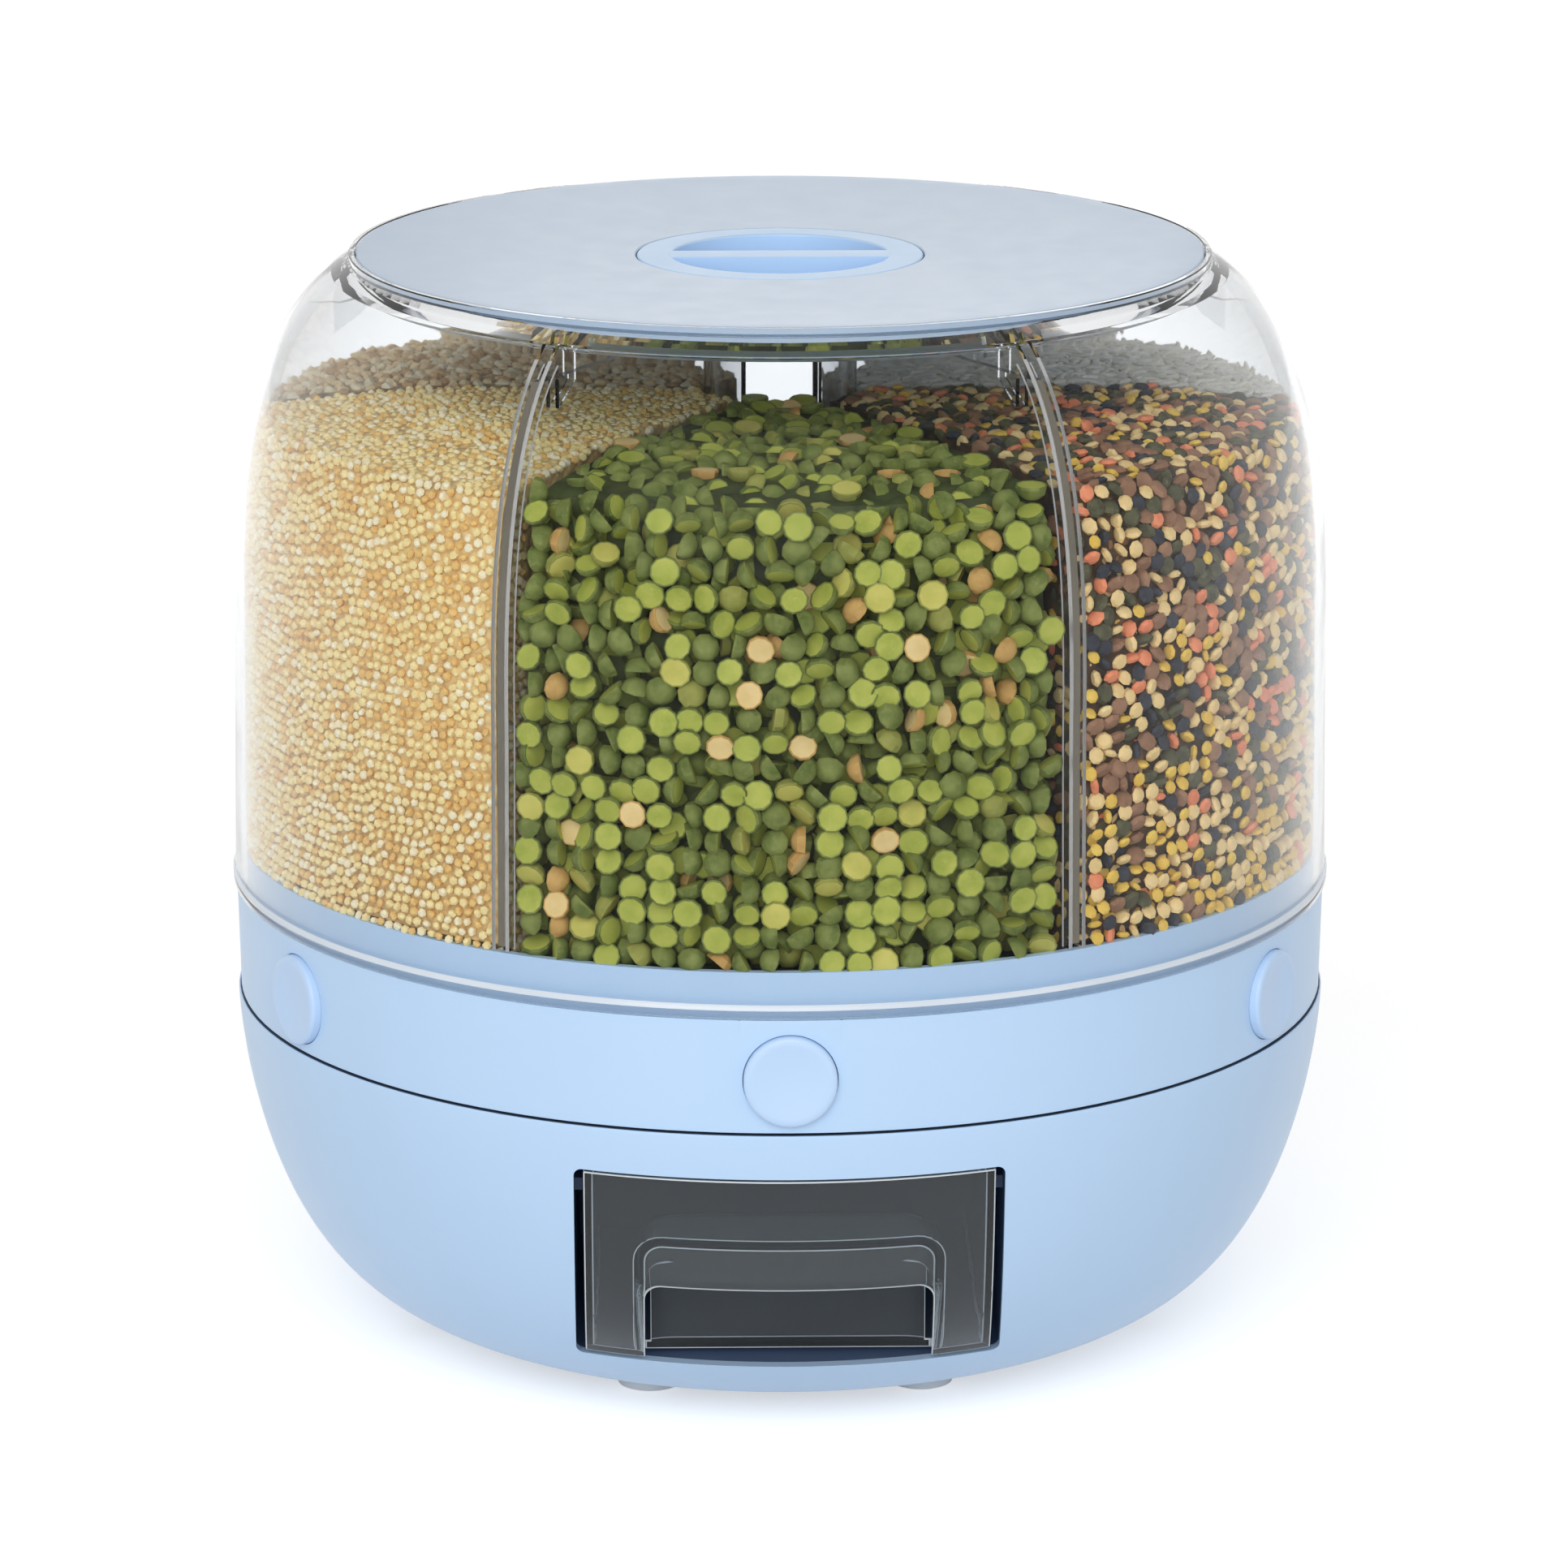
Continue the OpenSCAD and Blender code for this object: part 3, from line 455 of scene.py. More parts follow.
# Painted shade: darker copies of the blue plastic for the deck and the drawer tunnel, which lie in
# shadow inside the base.
BLUE_INSIDE_SHADE = MouldedPlastic("moulded_blue_inside_painted_shade", (150, 185, 226), (146, 181, 222))
TUNNEL_SHADE = MouldedPlastic("moulded_blue_tunnel_painted_shade", (80, 100, 134), (74, 92, 124), 0.4)
WHITE = MouldedPlastic("moulded_white", (236, 236, 232), (230, 230, 226), 0.35)
RUBBER = MouldedPlastic("moulded_rubber", (234, 240, 246), (226, 233, 241), 0.6, 0.02)
CLEAR = ClearPlastic("cast_clear", (248, 249, 250), (188, 193, 196))
# Painted highlights: opaque pale finishes on the ribs' crests and the shell's bead, for the bright
# lines that light makes in the clear plastic.
CLEAR_EDGE_HIGHLIGHT = MouldedPlastic("cast_clear_painted_highlight", (204, 202, 198), (180, 178, 174), 0.2)
BEAD_HIGHLIGHT = MouldedPlastic("cast_bead_painted_highlight", (222, 231, 240), (202, 212, 224), 0.2)
# Painted shade: an opaque grey-brown for the dark line that a clear vane shows edge on.
VANE_EDGE_SHADE = MouldedPlastic("cast_vane_edge_painted_shade", (128, 120, 104), (96, 90, 78), 0.2)
SMOKE = ClearPlastic("cast_smoke", (210, 216, 220), (158, 165, 170), 0.0, 0.25, 0.05)
# Painted highlight: an opaque pale finish for the bright edges of the smoky drawer.
SMOKE_EDGE_HIGHLIGHT = MouldedPlastic("cast_smoke_painted_highlight", (232, 236, 238), (196, 204, 209), 0.2)
SEAL = ClearPlastic("cast_silicone", (236, 240, 243), (190, 196, 200), 0.1)
STEEL = Metal("turned_steel", (206, 208, 212))
SPRING = Metal("drawn_steel", (186, 188, 194), 0.2)


# ---------------------------------------------------------------- shaping


def stored(bm: Mesh, name: str) -> bpy.types.Mesh:
    """Stores a mesh in the file.

    Args:
        bm: the mesh, which is used up.
        name: what it is called.

    Returns:
        The stored mesh.
    """
    mesh = bpy.data.meshes.new(name)
    bm.to_mesh(mesh)
    bm.free()
    return mesh


def placed(name: str, data: bpy.types.ID) -> bpy.types.Object:
    """Puts a mesh, a lamp or a camera in the scene.

    Args:
        name: what its object is called.
        data: what the object holds.

    Returns:
        The object, at the origin.
    """
    obj = bpy.data.objects.new(name, data)
    bpy.context.scene.collection.objects.link(obj)
    return obj


def sliced(bm: Mesh, at: Sequence[float], out: Sequence[float]) -> list[bmesh.types.BMEdge]:
    """Cuts off what lies beyond a plane.

    Args:
        bm: the mesh.
        at: a point in the plane.
        out: the way to the side that goes.

    Returns:
        The edges of the open rim.
    """
    cut = bmesh.ops.bisect_plane(bm, geom=bm.verts[:] + bm.edges[:] + bm.faces[:], dist=MERGE,
                                 plane_co=at, plane_no=out, clear_outer=True)
    return [item for item in cut["geom_cut"] if isinstance(item, bmesh.types.BMEdge)]


def sound(bm: Mesh) -> Mesh:
    """A mesh with its doubles merged and its faces turned outwards.

    Args:
        bm: the mesh.

    Returns:
        The same mesh.
    """
    bmesh.ops.remove_doubles(bm, verts=bm.verts[:], dist=MERGE)
    bmesh.ops.recalc_face_normals(bm, faces=bm.faces[:])
    if bm.calc_volume(signed=True) < 0:
        bmesh.ops.reverse_faces(bm, faces=bm.faces[:])
    return bm


def turned(outline: Sequence[Point], closed: bool = True, steps: int = ROUND_STEPS) -> Mesh:
    """Turns an outline round Z.

    Args:
        outline: its [radius, height] points.
        closed: False where the outline's ends lie on the axis.
        steps: how many steps the turn has.

    Returns:
        A closed solid.
    """
    bm = bmesh.new()
    verts = [bm.verts.new((0, -radius, height)) for radius, height in outline]
    ends = verts[1:] + verts[:1] if closed else verts[1:]
    edges = [bm.edges.new(pair) for pair in zip(verts, ends)]
    bmesh.ops.spin(bm, geom=verts + edges, cent=(0, 0, 0), axis=(0, 0, 1), dvec=(0, 0, 0),
                   angle=math.tau, steps=steps, use_merge=True, use_duplicate=False)
    return sound(bm)


def turned_along(outline: Sequence[Point], height: float, azimuth: float = 0.0) -> Mesh:
    """A solid turned round a line that runs outwards at a height.

    Args:
        outline: [radius, distance out from Z] points, with both ends on the line.
        height: the line's height.
        azimuth: the way it runs.

    Returns:
        A closed solid.
    """
    bm = turned(outline, closed=False, steps=SMALL_STEPS)
    raised = Matrix.Rotation(azimuth, 4, "Z") @ Matrix.Translation((0, 0, height))
    lay = raised @ Matrix.Rotation(math.pi / 2, 4, "X")
    bmesh.ops.transform(bm, matrix=lay, verts=bm.verts[:])
    return sound(bm)


def swept(outline: Sequence[Point], start: float, angle: float, steps: int) -> Mesh:
    """A filled outline of [radius, height] points, swept from an azimuth through an angle.

    Args:
        outline: its points.
        start: the azimuth it starts from.
        angle: how far it goes.
        steps: how many steps it takes.

    Returns:
        A closed solid.
    """
    bm = bmesh.new()
    face = bm.faces.new([bm.verts.new((0, -radius, height)) for radius, height in outline])
    bmesh.ops.rotate(bm, cent=(0, 0, 0), matrix=Matrix.Rotation(start, 3, "Z"), verts=bm.verts[:])
    bmesh.ops.spin(bm, geom=[face, *face.edges, *face.verts], cent=(0, 0, 0), axis=(0, 0, 1),
                   dvec=(0, 0, 0), angle=angle, steps=steps, use_merge=False, use_duplicate=False)
    return sound(bm)


def pushed(outline: Sequence[Sequence[float]], by: Sequence[float]) -> Mesh:
    """A prism: a flat outline, extruded by a vector.

    Args:
        outline: its corners, all in one plane.
        by: which way, and how far.

    Returns:
        A closed solid.
    """
    bm = bmesh.new()
    face = bm.faces.new([bm.verts.new(point) for point in outline])
    made = bmesh.ops.extrude_face_region(bm, geom=[face])["geom"]
    bmesh.ops.translate(bm, vec=by, verts=[g for g in made if isinstance(g, bmesh.types.BMVert)])
    return sound(bm)


def upright(outline: Sequence[Point], thickness: float, aside: float = 0.0) -> Mesh:
    """A plate in the plane of -Y and Z, from an outline of [radius, height] points."""
    low = aside - thickness / 2
    return pushed([(low, -radius, height) for radius, height in outline], (thickness, 0, 0))


def block(low: Sequence[float], high: Sequence[float]) -> Mesh:
    """A box between two corners.

    Args:
        low: its lowest corner.
        high: its highest corner.

    Returns:
        A closed solid.
    """
    low, high = Vector(low), Vector(high)
    bm = bmesh.new()
    bmesh.ops.create_cube(bm, size=1, matrix=Matrix.Translation((low + high) / 2)
                          @ Matrix.Diagonal((high - low).to_4d()))
    return bm


def rod(radius: float, start: Sequence[float], end: Sequence[float]) -> Mesh:
    """A cylinder between two points.

    Args:
        radius: its radius.
        start: the middle of one end.
        end: the middle of the other.

    Returns:
        A closed solid.
    """
    start, end = Vector(start), Vector(end)
    along = end - start
    bm = bmesh.new()
    turn = along.to_track_quat("Z", "Y").to_matrix().to_4x4()
    bmesh.ops.create_cone(bm, cap_ends=True, cap_tris=False, segments=SMALL_STEPS, radius1=radius,
                          radius2=radius, depth=along.length,
                          matrix=Matrix.Translation((start + end) / 2) @ turn)
    return bm


def rounded(width: float, height: float, corner: float, centre: Point = (0, 0)) -> list[Point]:
    """A rectangle's outline with round corners.

    Args:
        width: how wide it is.
        height: how high it is.
        corner: the corners' radius.
        centre: its middle.

    Returns:
        Its points, anticlockwise.
    """
    points = []
    for index, (side, up) in enumerate(((1, 1), (-1, 1), (-1, -1), (1, -1))):
        for step in range(9):
            angle = (index + step / 8) * math.pi / 2
            points.append((centre[0] + side * (width / 2 - corner) + corner * math.cos(angle),
                           centre[1] + up * (height / 2 - corner) + corner * math.sin(angle)))
    return points


def inset(path: Sequence[Point], distance: float) -> list[Point]:
    """A path moved to its left by a distance.

    Args:
        path: its points.
        distance: how far it moves.

    Returns:
        As many points, moved.
    """
    moved = []
    for index, (x, y) in enumerate(path):
        ahead, behind = path[min(index + 1, len(path) - 1)], path[max(index - 1, 0)]
        along = Vector((ahead[0] - behind[0], ahead[1] - behind[1])).normalized()
        moved.append((x - distance * along.y, y + distance * along.x))
    return moved


def between(path: Sequence[Point], height: float) -> float:
    """The radius of a rising path at a height.

    Args:
        path: [radius, height] points, from low to high.
        height: where to look.

    Returns:
        The radius there, or at the nearer end.
    """
    for (r0, z0), (r1, z1) in zip(path, path[1:]):
        if z0 <= height <= z1:
            return r0 + (r1 - r0) * (height - z0) / (z1 - z0)
    return path[0][0] if height < path[0][1] else path[-1][0]


def copied(part: Mesh, places: Iterable[Matrix]) -> Mesh:
    """One mesh of a part's copies, each at its place.

    Args:
        part: the mesh, which is used up.
        places: where the copies go.

    Returns:
        The copies, as one mesh.
    """
    whole, mesh = bmesh.new(), stored(part, "copied")
    for place in places:
        copy = mesh.copy()
        copy.transform(place)
        whole.from_mesh(copy)
        bpy.data.meshes.remove(copy)
    bpy.data.meshes.remove(mesh)
    return whole


def joined(*parts: Mesh) -> Mesh:
    """One mesh of several that don't touch.

    Args:
        parts: the meshes, which are used up.

    Returns:
        The one mesh.
    """
    whole = bmesh.new()
    for part in parts:
        mesh = stored(part, "joined")
        whole.from_mesh(mesh)
        bpy.data.meshes.remove(mesh)
    return whole


def changed(body: Mesh, how: Solid, *tools: Mesh) -> Mesh:
    """A solid with others added to it, cut from it, or kept in common with it.

    Args:
        body: the solid.
        how: what the tools do to it.
        tools: the other solids, used in turn.

    Returns:
        The changed solid.
    """
    for tool in tools:
        objects = [placed("solid", stored(bm, "solid")) for bm in (body, tool)]
        boolean = objects[0].modifiers.new("solid", "BOOLEAN")
        boolean.operation = how.value
        boolean.solver = "MANIFOLD"
        boolean.object = objects[1]
        bpy.context.view_layer.update()
        body = bmesh.new()
        body.from_object(objects[0], bpy.context.evaluated_depsgraph_get())
        for obj in objects:
            mesh = obj.data
            bpy.data.objects.remove(obj)
            bpy.data.meshes.remove(mesh)
    return body


def eased(bm: Mesh, width: float, where: Callable[[Vector], bool],
          finish: int = 0) -> Mesh:
    """Rounds the sharp edges whose middle is in a place.

    Args:
        bm: the solid.
        width: how wide the rounding is.
        where: whether a middle is in the place.
        finish: which of the piece's finishes the rounding gets.

    Returns:
        The same solid.
    """
    edges = [edge for edge in bm.edges if len(edge.link_faces) == 2
             and abs(edge.calc_face_angle()) > 0.7 and where((edge.verts[0].co + edge.verts[1].co) / 2)]
    made = bmesh.ops.bevel(bm, geom=edges, offset=width, offset_type="OFFSET", segments=2, profile=0.5,
                           affect="EDGES", clamp_overlap=False, material=-1)
    for face in made["faces"]:
        face.material_index = finish
    return bm


def painted_seam_shade(bm: Mesh, height: float, radius: float) -> Mesh:
    """Gives the level faces at a height, inside a radius, the second finish: painted shade, dark as the
    shadow down in a seam's gap.

    Args:
        bm: the solid.
        height: the faces' height.
        radius: how far out they reach.

    Returns:
        The same solid.
    """
    for face in bm.faces:
        middle = face.calc_center_median()
        if face.normal.z > 0.9 and abs(middle.z - height) < 0.05 and middle.xy.length < radius:
            face.material_index = 1
    return bm


def azimuths(first: float = 0.0) -> list[Matrix]:
    """Turns to every station, or with half a step first, to every vane."""
    return [Matrix.Rotation(first + k * STATION_STEP, 4, "Z") for k in range(STATIONS)]


@dataclass
class Piece:
    """A finished piece and what it stands for."""

    name: str
    body: str
    finishes: tuple[Finish, ...]
    slot: Slot
    nodes: tuple[str, ...] = ()

    def make(self, bm: Mesh) -> bpy.types.Object:
        """Puts the piece in the scene.

        Args:
            bm: its mesh in millimetres, which is used up.

        Returns:
            Its object, riding on its body.
        """
        bmesh.ops.scale(bm, vec=(MM, MM, MM), verts=bm.verts[:])
        for face in bm.faces:
            face.smooth = True
        mesh = stored(bm, self.name)
        mesh.set_sharp_from_angle(angle=SHARP)
        for finish in self.finishes:
            mesh.materials.append(finish.material())
        obj = placed(self.name, mesh)
        weighted = obj.modifiers.new("shading", "WEIGHTED_NORMAL")
        weighted.keep_sharp = True
        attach(obj, self.body)
        if self.nodes:
            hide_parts(*self.nodes)
        LOG.info("%s: %d faces on %s", self.name, len(mesh.polygons), self.body)
        return obj


# ------------------------------------------------------------------- base


@dataclass(frozen=True)
class Bowl:
    """The round outer form of the base, which the drawer's front follows."""

    rim_r: float = 135.6
    flat_r: float = 33.0
    top: float = 83.5
    height: float = 82.0
    steps: int = 44

    def path(self, depth: float = 0.0) -> list[Point]:
        """The curve from underneath up to the rim, drawn in by a depth.

        Args:
            depth: how far inside the outer face it runs.

        Returns:
            [radius, height] points, from low to high.
        """
        angles = [math.pi / 2 * step / self.steps for step in range(self.steps, -1, -1)]
        curve = [(self.flat_r + (self.rim_r - self.flat_r) * max(math.cos(a), 0) ** 0.4,
                  self.top - self.height * math.sin(a) ** 1.28) for a in angles]
        return inset(curve, depth)

    def solid(self, depth: float, top: float) -> Mesh:
        """All that the curve holds up to a height.

        Args:
            depth: how far inside the outer face the curve runs.
            top: the height.

        Returns:
            A closed solid.
        """
        path = self.path(depth)
        below = [point for point in path if point[1] < top - 0.05]
        return turned([(0, path[0][1]), *below, (between(path, top), top), (0, top)], closed=False)


@dataclass
class Base:
    """The round base, its feet, and the working parts inside it."""

    bowl: Bowl = field(default_factory=Bowl)
    wall: float = 2.5
    opening: tuple[float, float, float, float] = (101.0, 19.4, 72.6, 2.0)
    ledge: tuple[Point, ...] = ((127.2, 74.2), (127.2, 76.2), (133.35, 76.2), (133.35, 68.2))
    foot: tuple[float, float, float] = (8.0, 4.0, 78.0)
    foot_play: float = 0.3
    foot_wall: float = 2.0
    post: tuple[float, float] = (6.0, 60.2)
    bore: tuple[float, float] = (3.2, 52.2)
    pilot: tuple[float, float, float] = (1.6, 51.0, 62.0)
    foot_azimuths: tuple[int, ...] = (25, 90, 155, 205, 270, 335)
    screw_azimuths: tuple[int, ...] = (70, 140, 220, 290)
    screw_ring: float = 95.0
    kept: tuple[tuple[str, Finish], ...] = (
        # The deck and the tunnel get the blue in painted shade.
        ("base_deck", BLUE_INSIDE_SHADE), ("drawer_tunnel", TUNNEL_SHADE), ("tunnel_screws", STEEL),
        ("deck_screws", STEEL), ("spindle", STEEL), ("ball_cage", WHITE),
        ("bearing_balls", STEEL), ("spindle_washer", STEEL), ("spindle_screw", STEEL))

    @staticmethod
    def _around(degrees: Iterable[int], radius: float) -> list[Matrix]:
        """Places on a circle, from the azimuths in degrees."""
        return [Matrix.Rotation(math.radians(d), 4, "Z") @ Matrix.Translation((0, -radius, 0))
                for d in degrees]

    def shell(self) -> Mesh:
        """The bowl with its opening, deck ledge, screw posts and foot recesses.

        Returns:
            A closed solid.
        """
        width, low, high, corner = self.opening
        hole = [(x, -70, z) for x, z in rounded(width, high - low, corner, (0, (high + low) / 2))]
        foot_r, foot_h, ring = self.foot
        (post_r, post_h), (bore_r, bore_h) = self.post, self.bore
        pilot_r, pilot_low, pilot_high = self.pilot
        recess_r, recess_h, cover = foot_r + self.foot_play, foot_h + self.foot_play, self.foot_wall
        screws = self._around(self.screw_azimuths, self.screw_ring)
        feet = self._around(self.foot_azimuths, ring)
        posts = joined(copied(rod(post_r, (0, 0, 0), (0, 0, post_h)), screws),
                       copied(rod(foot_r + cover, (0, 0, 0), (0, 0, recess_h + cover)), feet))
        posts = changed(self.bowl.solid(0.6, self.bowl.top), Solid.KEEP, posts)
        shell = changed(self.bowl.solid(0, self.bowl.top), Solid.CUT,
                        self.bowl.solid(self.wall, self.bowl.top + 1))
        shell = changed(shell, Solid.ADD, turned(self.ledge), posts)
        shell = changed(shell, Solid.CUT, pushed(hole, (0, -90, 0)),
                        copied(rod(recess_r, (0, 0, -1), (0, 0, recess_h)), feet),
                        copied(rod(bore_r, (0, 0, -1), (0, 0, bore_h)), screws),
                        copied(rod(pilot_r, (0, 0, pilot_low), (0, 0, pilot_high)), screws))
        lip = self.bowl.rim_r - 4
        shell = eased(shell, 0.35, lambda at: at.z > self.bowl.top - 0.1 and at.xy.length > lip)
        # The rim's top faces, in the gap under the ring, get painted shade.
        return painted_seam_shade(shell, self.bowl.top, self.bowl.rim_r - 0.3)

    def feet(self) -> Mesh:
        """The rubber feet, with a soft edge and a shallow ring underneath.

        Returns:
            The six feet, as one mesh.
        """
        radius, height, ring = self.foot
        foot = turned([(0, 0.5), (3.6, 0.5), (4.2, 0.0), (radius - 0.8, 0.0), (radius - 0.2, 0.25),
                       (radius, 0.8), (radius, height), (0, height)], closed=False, steps=SMALL_STEPS)
        return copied(foot, self._around(self.foot_azimuths, ring))

    def build(self, nodes: dict[str, bpy.types.Object]) -> None:
        """Makes the base's pieces and dresses the nodes that stay.

        Args:
            nodes: the CAD nodes by name.
        """
        Piece("base_bowl", "base", (BLUE, SEAM_SHADE), Slot.BLUE, ("base_shell",)).make(self.shell())
        Piece("feet", "base", (RUBBER,), Slot.RUBBER, ("rubber_feet",)).make(self.feet())
        for name, finish in self.kept:
            nodes[name].material_slots[0].material = finish.material()


@dataclass
class Drawer:
    """The clear drawer with its finger pocket."""

    bowl: Bowl = field(default_factory=Bowl)
    half: float = 48.25
    low: float = 20.3
    high: float = 71.9
    back: float = 17.0
    wall: float = 2.2
    face_inset: float = 0.4
    pocket: tuple[float, float, float, float] = (68.0, 104.0, 53.7, 7.0)
    soft_r: float = 4.5
    cut_out: tuple[float, float] = (22.2, 4.0)
    tab: tuple[float, float, float] = (30.0, 8.0, 74.4)

    def _space(self, depth: float, margin: float, over: float = 0.0) -> Mesh:
        """The drawer's block behind the bowl's curve, drawn in by a margin.

        Args:
            depth: how far inside the bowl's face its front lies.
            margin: how far its sides, back and floor are drawn in.
            over: how far it stands over the drawer's top.

        Returns:
            A closed solid.
        """
        box = block((-self.half + margin, -140, self.low + margin),
                    (self.half - margin, -self.back - margin, self.high + over))
        return changed(self.bowl.solid(depth, self.bowl.top), Solid.KEEP, box)

    def _pocket(self, margin: float, low: float, high: float) -> Mesh:
        """The pocket's block, grown by a margin.

        Args:
            margin: how much wider and deeper it is.
            low: where it starts.
            high: where it ends.

        Returns:
            A closed solid.
        """
        width, back, _, corner = self.pocket
        outline = rounded(width + 2 * margin, 120, corner + margin, (0, -back + margin - 60))
        pocket = pushed([(x, y, low) for x, y in outline], (0, 0, high - low))
        rim = [edge for edge in pocket.edges if all(vert.co.z > high - 0.01 for vert in edge.verts)]
        bmesh.ops.bevel(pocket, geom=rim, offset=self.soft_r + margin, offset_type="OFFSET", segments=6,
                        profile=0.5, affect="EDGES", clamp_overlap=True, material=-1)
        return pocket

    def tray(self) -> Mesh:
        """The drawer, clear all through.

        Returns:
            A closed solid.
        """
        rise, corner = self.cut_out
        top, aside, across = self.pocket[2], self.tab[0], self.tab[1] / 2
        inside = self._space(self.face_inset + self.wall, self.wall, 1)
        tray = changed(self._space(self.face_inset, 0), Solid.CUT, inside)
        pocket = changed(self._space(self.face_inset, 0), Solid.KEEP,
                         self._pocket(self.wall, self.low, top + self.wall))
        tabs = [block((x - across, -self.back - self.wall, self.high - self.wall),
                      (x + across, -self.back, self.tab[2])) for x in (-aside, aside)]
        tray = changed(tray, Solid.ADD, pocket, *tabs)
        room = changed(self.bowl.solid(self.face_inset + self.wall, self.bowl.top), Solid.KEEP,
                       self._pocket(0, self.low - 1, top))
        face = rounded(self.pocket[0], 2 * rise, corner, (0, self.low))
        tray = changed(tray, Solid.CUT, room,
                       pushed([(x, -self.pocket[1], z) for x, z in face], (0, -60, 0)))
        # The rounded front and top edges get an opaque pale finish: painted highlights.
        return eased(tray, 0.35, lambda at: at.y < -60 or at.z > self.high - 0.1, 1)

    def build(self) -> None:
        """Makes the drawer."""
        Piece("drawer", "drawer", (SMOKE, SMOKE_EDGE_HIGHLIGHT), Slot.DRAWER, ("drawer_tray",)).make(self.tray())


# ------------------------------------------------------------------- drum


@dataclass
class ButtonRing:
    """The blue ring that turns with the shell, its buttons and their springs."""

    low: float = 84.0
    high: float = 111.5
    inner_r: float = 133.3
    outer_r: float = 135.5
    draft: float = 0.55
    button_z: float = 96.9
    button_r: float = 10.95
    button_reach: tuple[float, float] = (124.5, 137.3)
    hole_r: float = 11.15
    sleeve: tuple[float, float] = (12.6, 125.0)
    spring: tuple[float, float, float, float] = (6.5, 1.1, 112.6, 134.4)
    travel: float = 9.0
    coils: int = 8
    lug: tuple[float, float, float, float] = (6.0, 119.0, 87.5, 90.0)
    lug_bore: tuple[float, float] = (1.6, 124.0)
    line: float = 0.12
    mould_lines: tuple[float, ...] = (-71.1, -5.0, 5.0, 71.1, 175.0)

    def ring(self) -> Mesh:
        """The ring with its button holes, sleeves, screw lugs and fine mould lines.

        Returns:
            A closed solid.
        """
        sleeve_r, sleeve_end = self.sleeve
        lug_half, lug_end, lug_low, lug_high = self.lug
        bore_r, bore_at = self.lug_bore
        z, beyond, line, low = self.button_z, self.outer_r + 1, self.line, self.low
        ring = turned([(self.inner_r, self.low), (self.outer_r - self.draft, self.low),
                       (self.outer_r, self.high), (self.inner_r, self.high)])
        sleeve = rod(sleeve_r, (0, -sleeve_end, z), (0, -self.inner_r - 1, z))
        lug = block((-lug_half, -self.inner_r - 0.5, lug_low), (lug_half, -lug_end, lug_high))
        hole = rod(self.hole_r, (0, -sleeve_end + 1, z), (0, -beyond, z))
        bore = rod(bore_r, (0, -bore_at, low), (0, -bore_at, lug_high + 2))
        groove = block((-line, -beyond, low - 1), (line, line - self.outer_r, self.high + 1))
        lines = [Matrix.Rotation(math.radians(azimuth), 4, "Z") for azimuth in self.mould_lines]
        ring = changed(ring, Solid.ADD, copied(sleeve, azimuths()), copied(lug, azimuths(HALF_STEP)))
        ring = changed(ring, Solid.CUT, copied(hole, azimuths()), copied(bore, azimuths(HALF_STEP)),
                       copied(groove, lines))
        ring = eased(ring, 0.25, lambda at: at.xy.length > self.outer_r - 0.6
                     and (at.z < self.low + 0.1 or at.z > self.high - 0.1))
        # The ring's top faces, in the gap under the shell's bead, get painted shade.
        return painted_seam_shade(ring, self.high, self.outer_r - 0.2)

    def button(self) -> Mesh:
        """A button: a barrel with a pin inside, and a dished face in a raised round lip.

        Returns:
            The front station's button.
        """
        start, face = self.button_reach
        r, dish = self.button_r, 0.8
        steps = (0, 1.8, 3.6, 5.2, 6.6, 7.8, 8.9)
        hollow = [(step, face - dish * (1 - (step / steps[-1]) ** 2)) for step in steps]
        lip = [(9.4, face), (9.9, face - 0.04), (10.35, face - 0.18), (10.7, face - 0.42),
               (10.88, face - 0.72), (r, face - 1.1)]
        inside = [(r, start), (r - 1.8, start), (r - 1.8, face - 2.7), (4.8, face - 2.7),
                  (4.8, face - 6.0), (4.5, face - 6.3), (0, face - 6.3)]
        return turned_along([*hollow, *lip, *inside], self.button_z)

    def coil(self) -> Mesh:
        """A return spring, coiled from its seat to the button's face.

        Returns:
            The front station's spring.
        """
        outer, wire, start, end = self.spring
        bm = bmesh.new()
        lay = Matrix.Rotation(math.pi / 2, 4, "X")
        first = Matrix.Translation((outer - wire / 2, 0, start + wire / 2)) @ lay
        bmesh.ops.create_circle(bm, cap_ends=False, segments=8, radius=wire / 2, matrix=first)
        steps = 20 * self.coils
        bmesh.ops.spin(bm, geom=bm.verts[:] + bm.edges[:], cent=(0, 0, 0), axis=(0, 0, 1),
                       dvec=(0, 0, (end - start - wire) / steps), angle=math.tau * self.coils,
                       steps=steps, use_merge=False, use_duplicate=False)
        bmesh.ops.holes_fill(bm, edges=[e for e in bm.edges if e.is_boundary], sides=8)
        lay = Matrix.Translation((0, 0, self.button_z)) @ lay
        bmesh.ops.transform(bm, matrix=lay, verts=bm.verts[:])
        return sound(bm)

    def build(self) -> None:
        """Makes the ring, the buttons and the springs."""
        Piece("ring", "drum", (BLUE, SEAM_SHADE), Slot.BLUE, ("drum_ring",)).make(self.ring())
        outer, _, start, end = self.spring
        for k, turn in enumerate(azimuths(), 1):
            button = Piece(f"push_button_{k}", f"station_{k}", (BLUE_BUTTON,), Slot.BLUE,
                           (f"button_{k}",))
            button.make(copied(self.button(), [turn]))
            spring = Piece(f"return_spring_{k}", "drum", (SPRING,), Slot.SPRING, (f"spring_{k}",))
            coil = spring.make(copied(self.coil(), [turn]))
            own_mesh(coil)


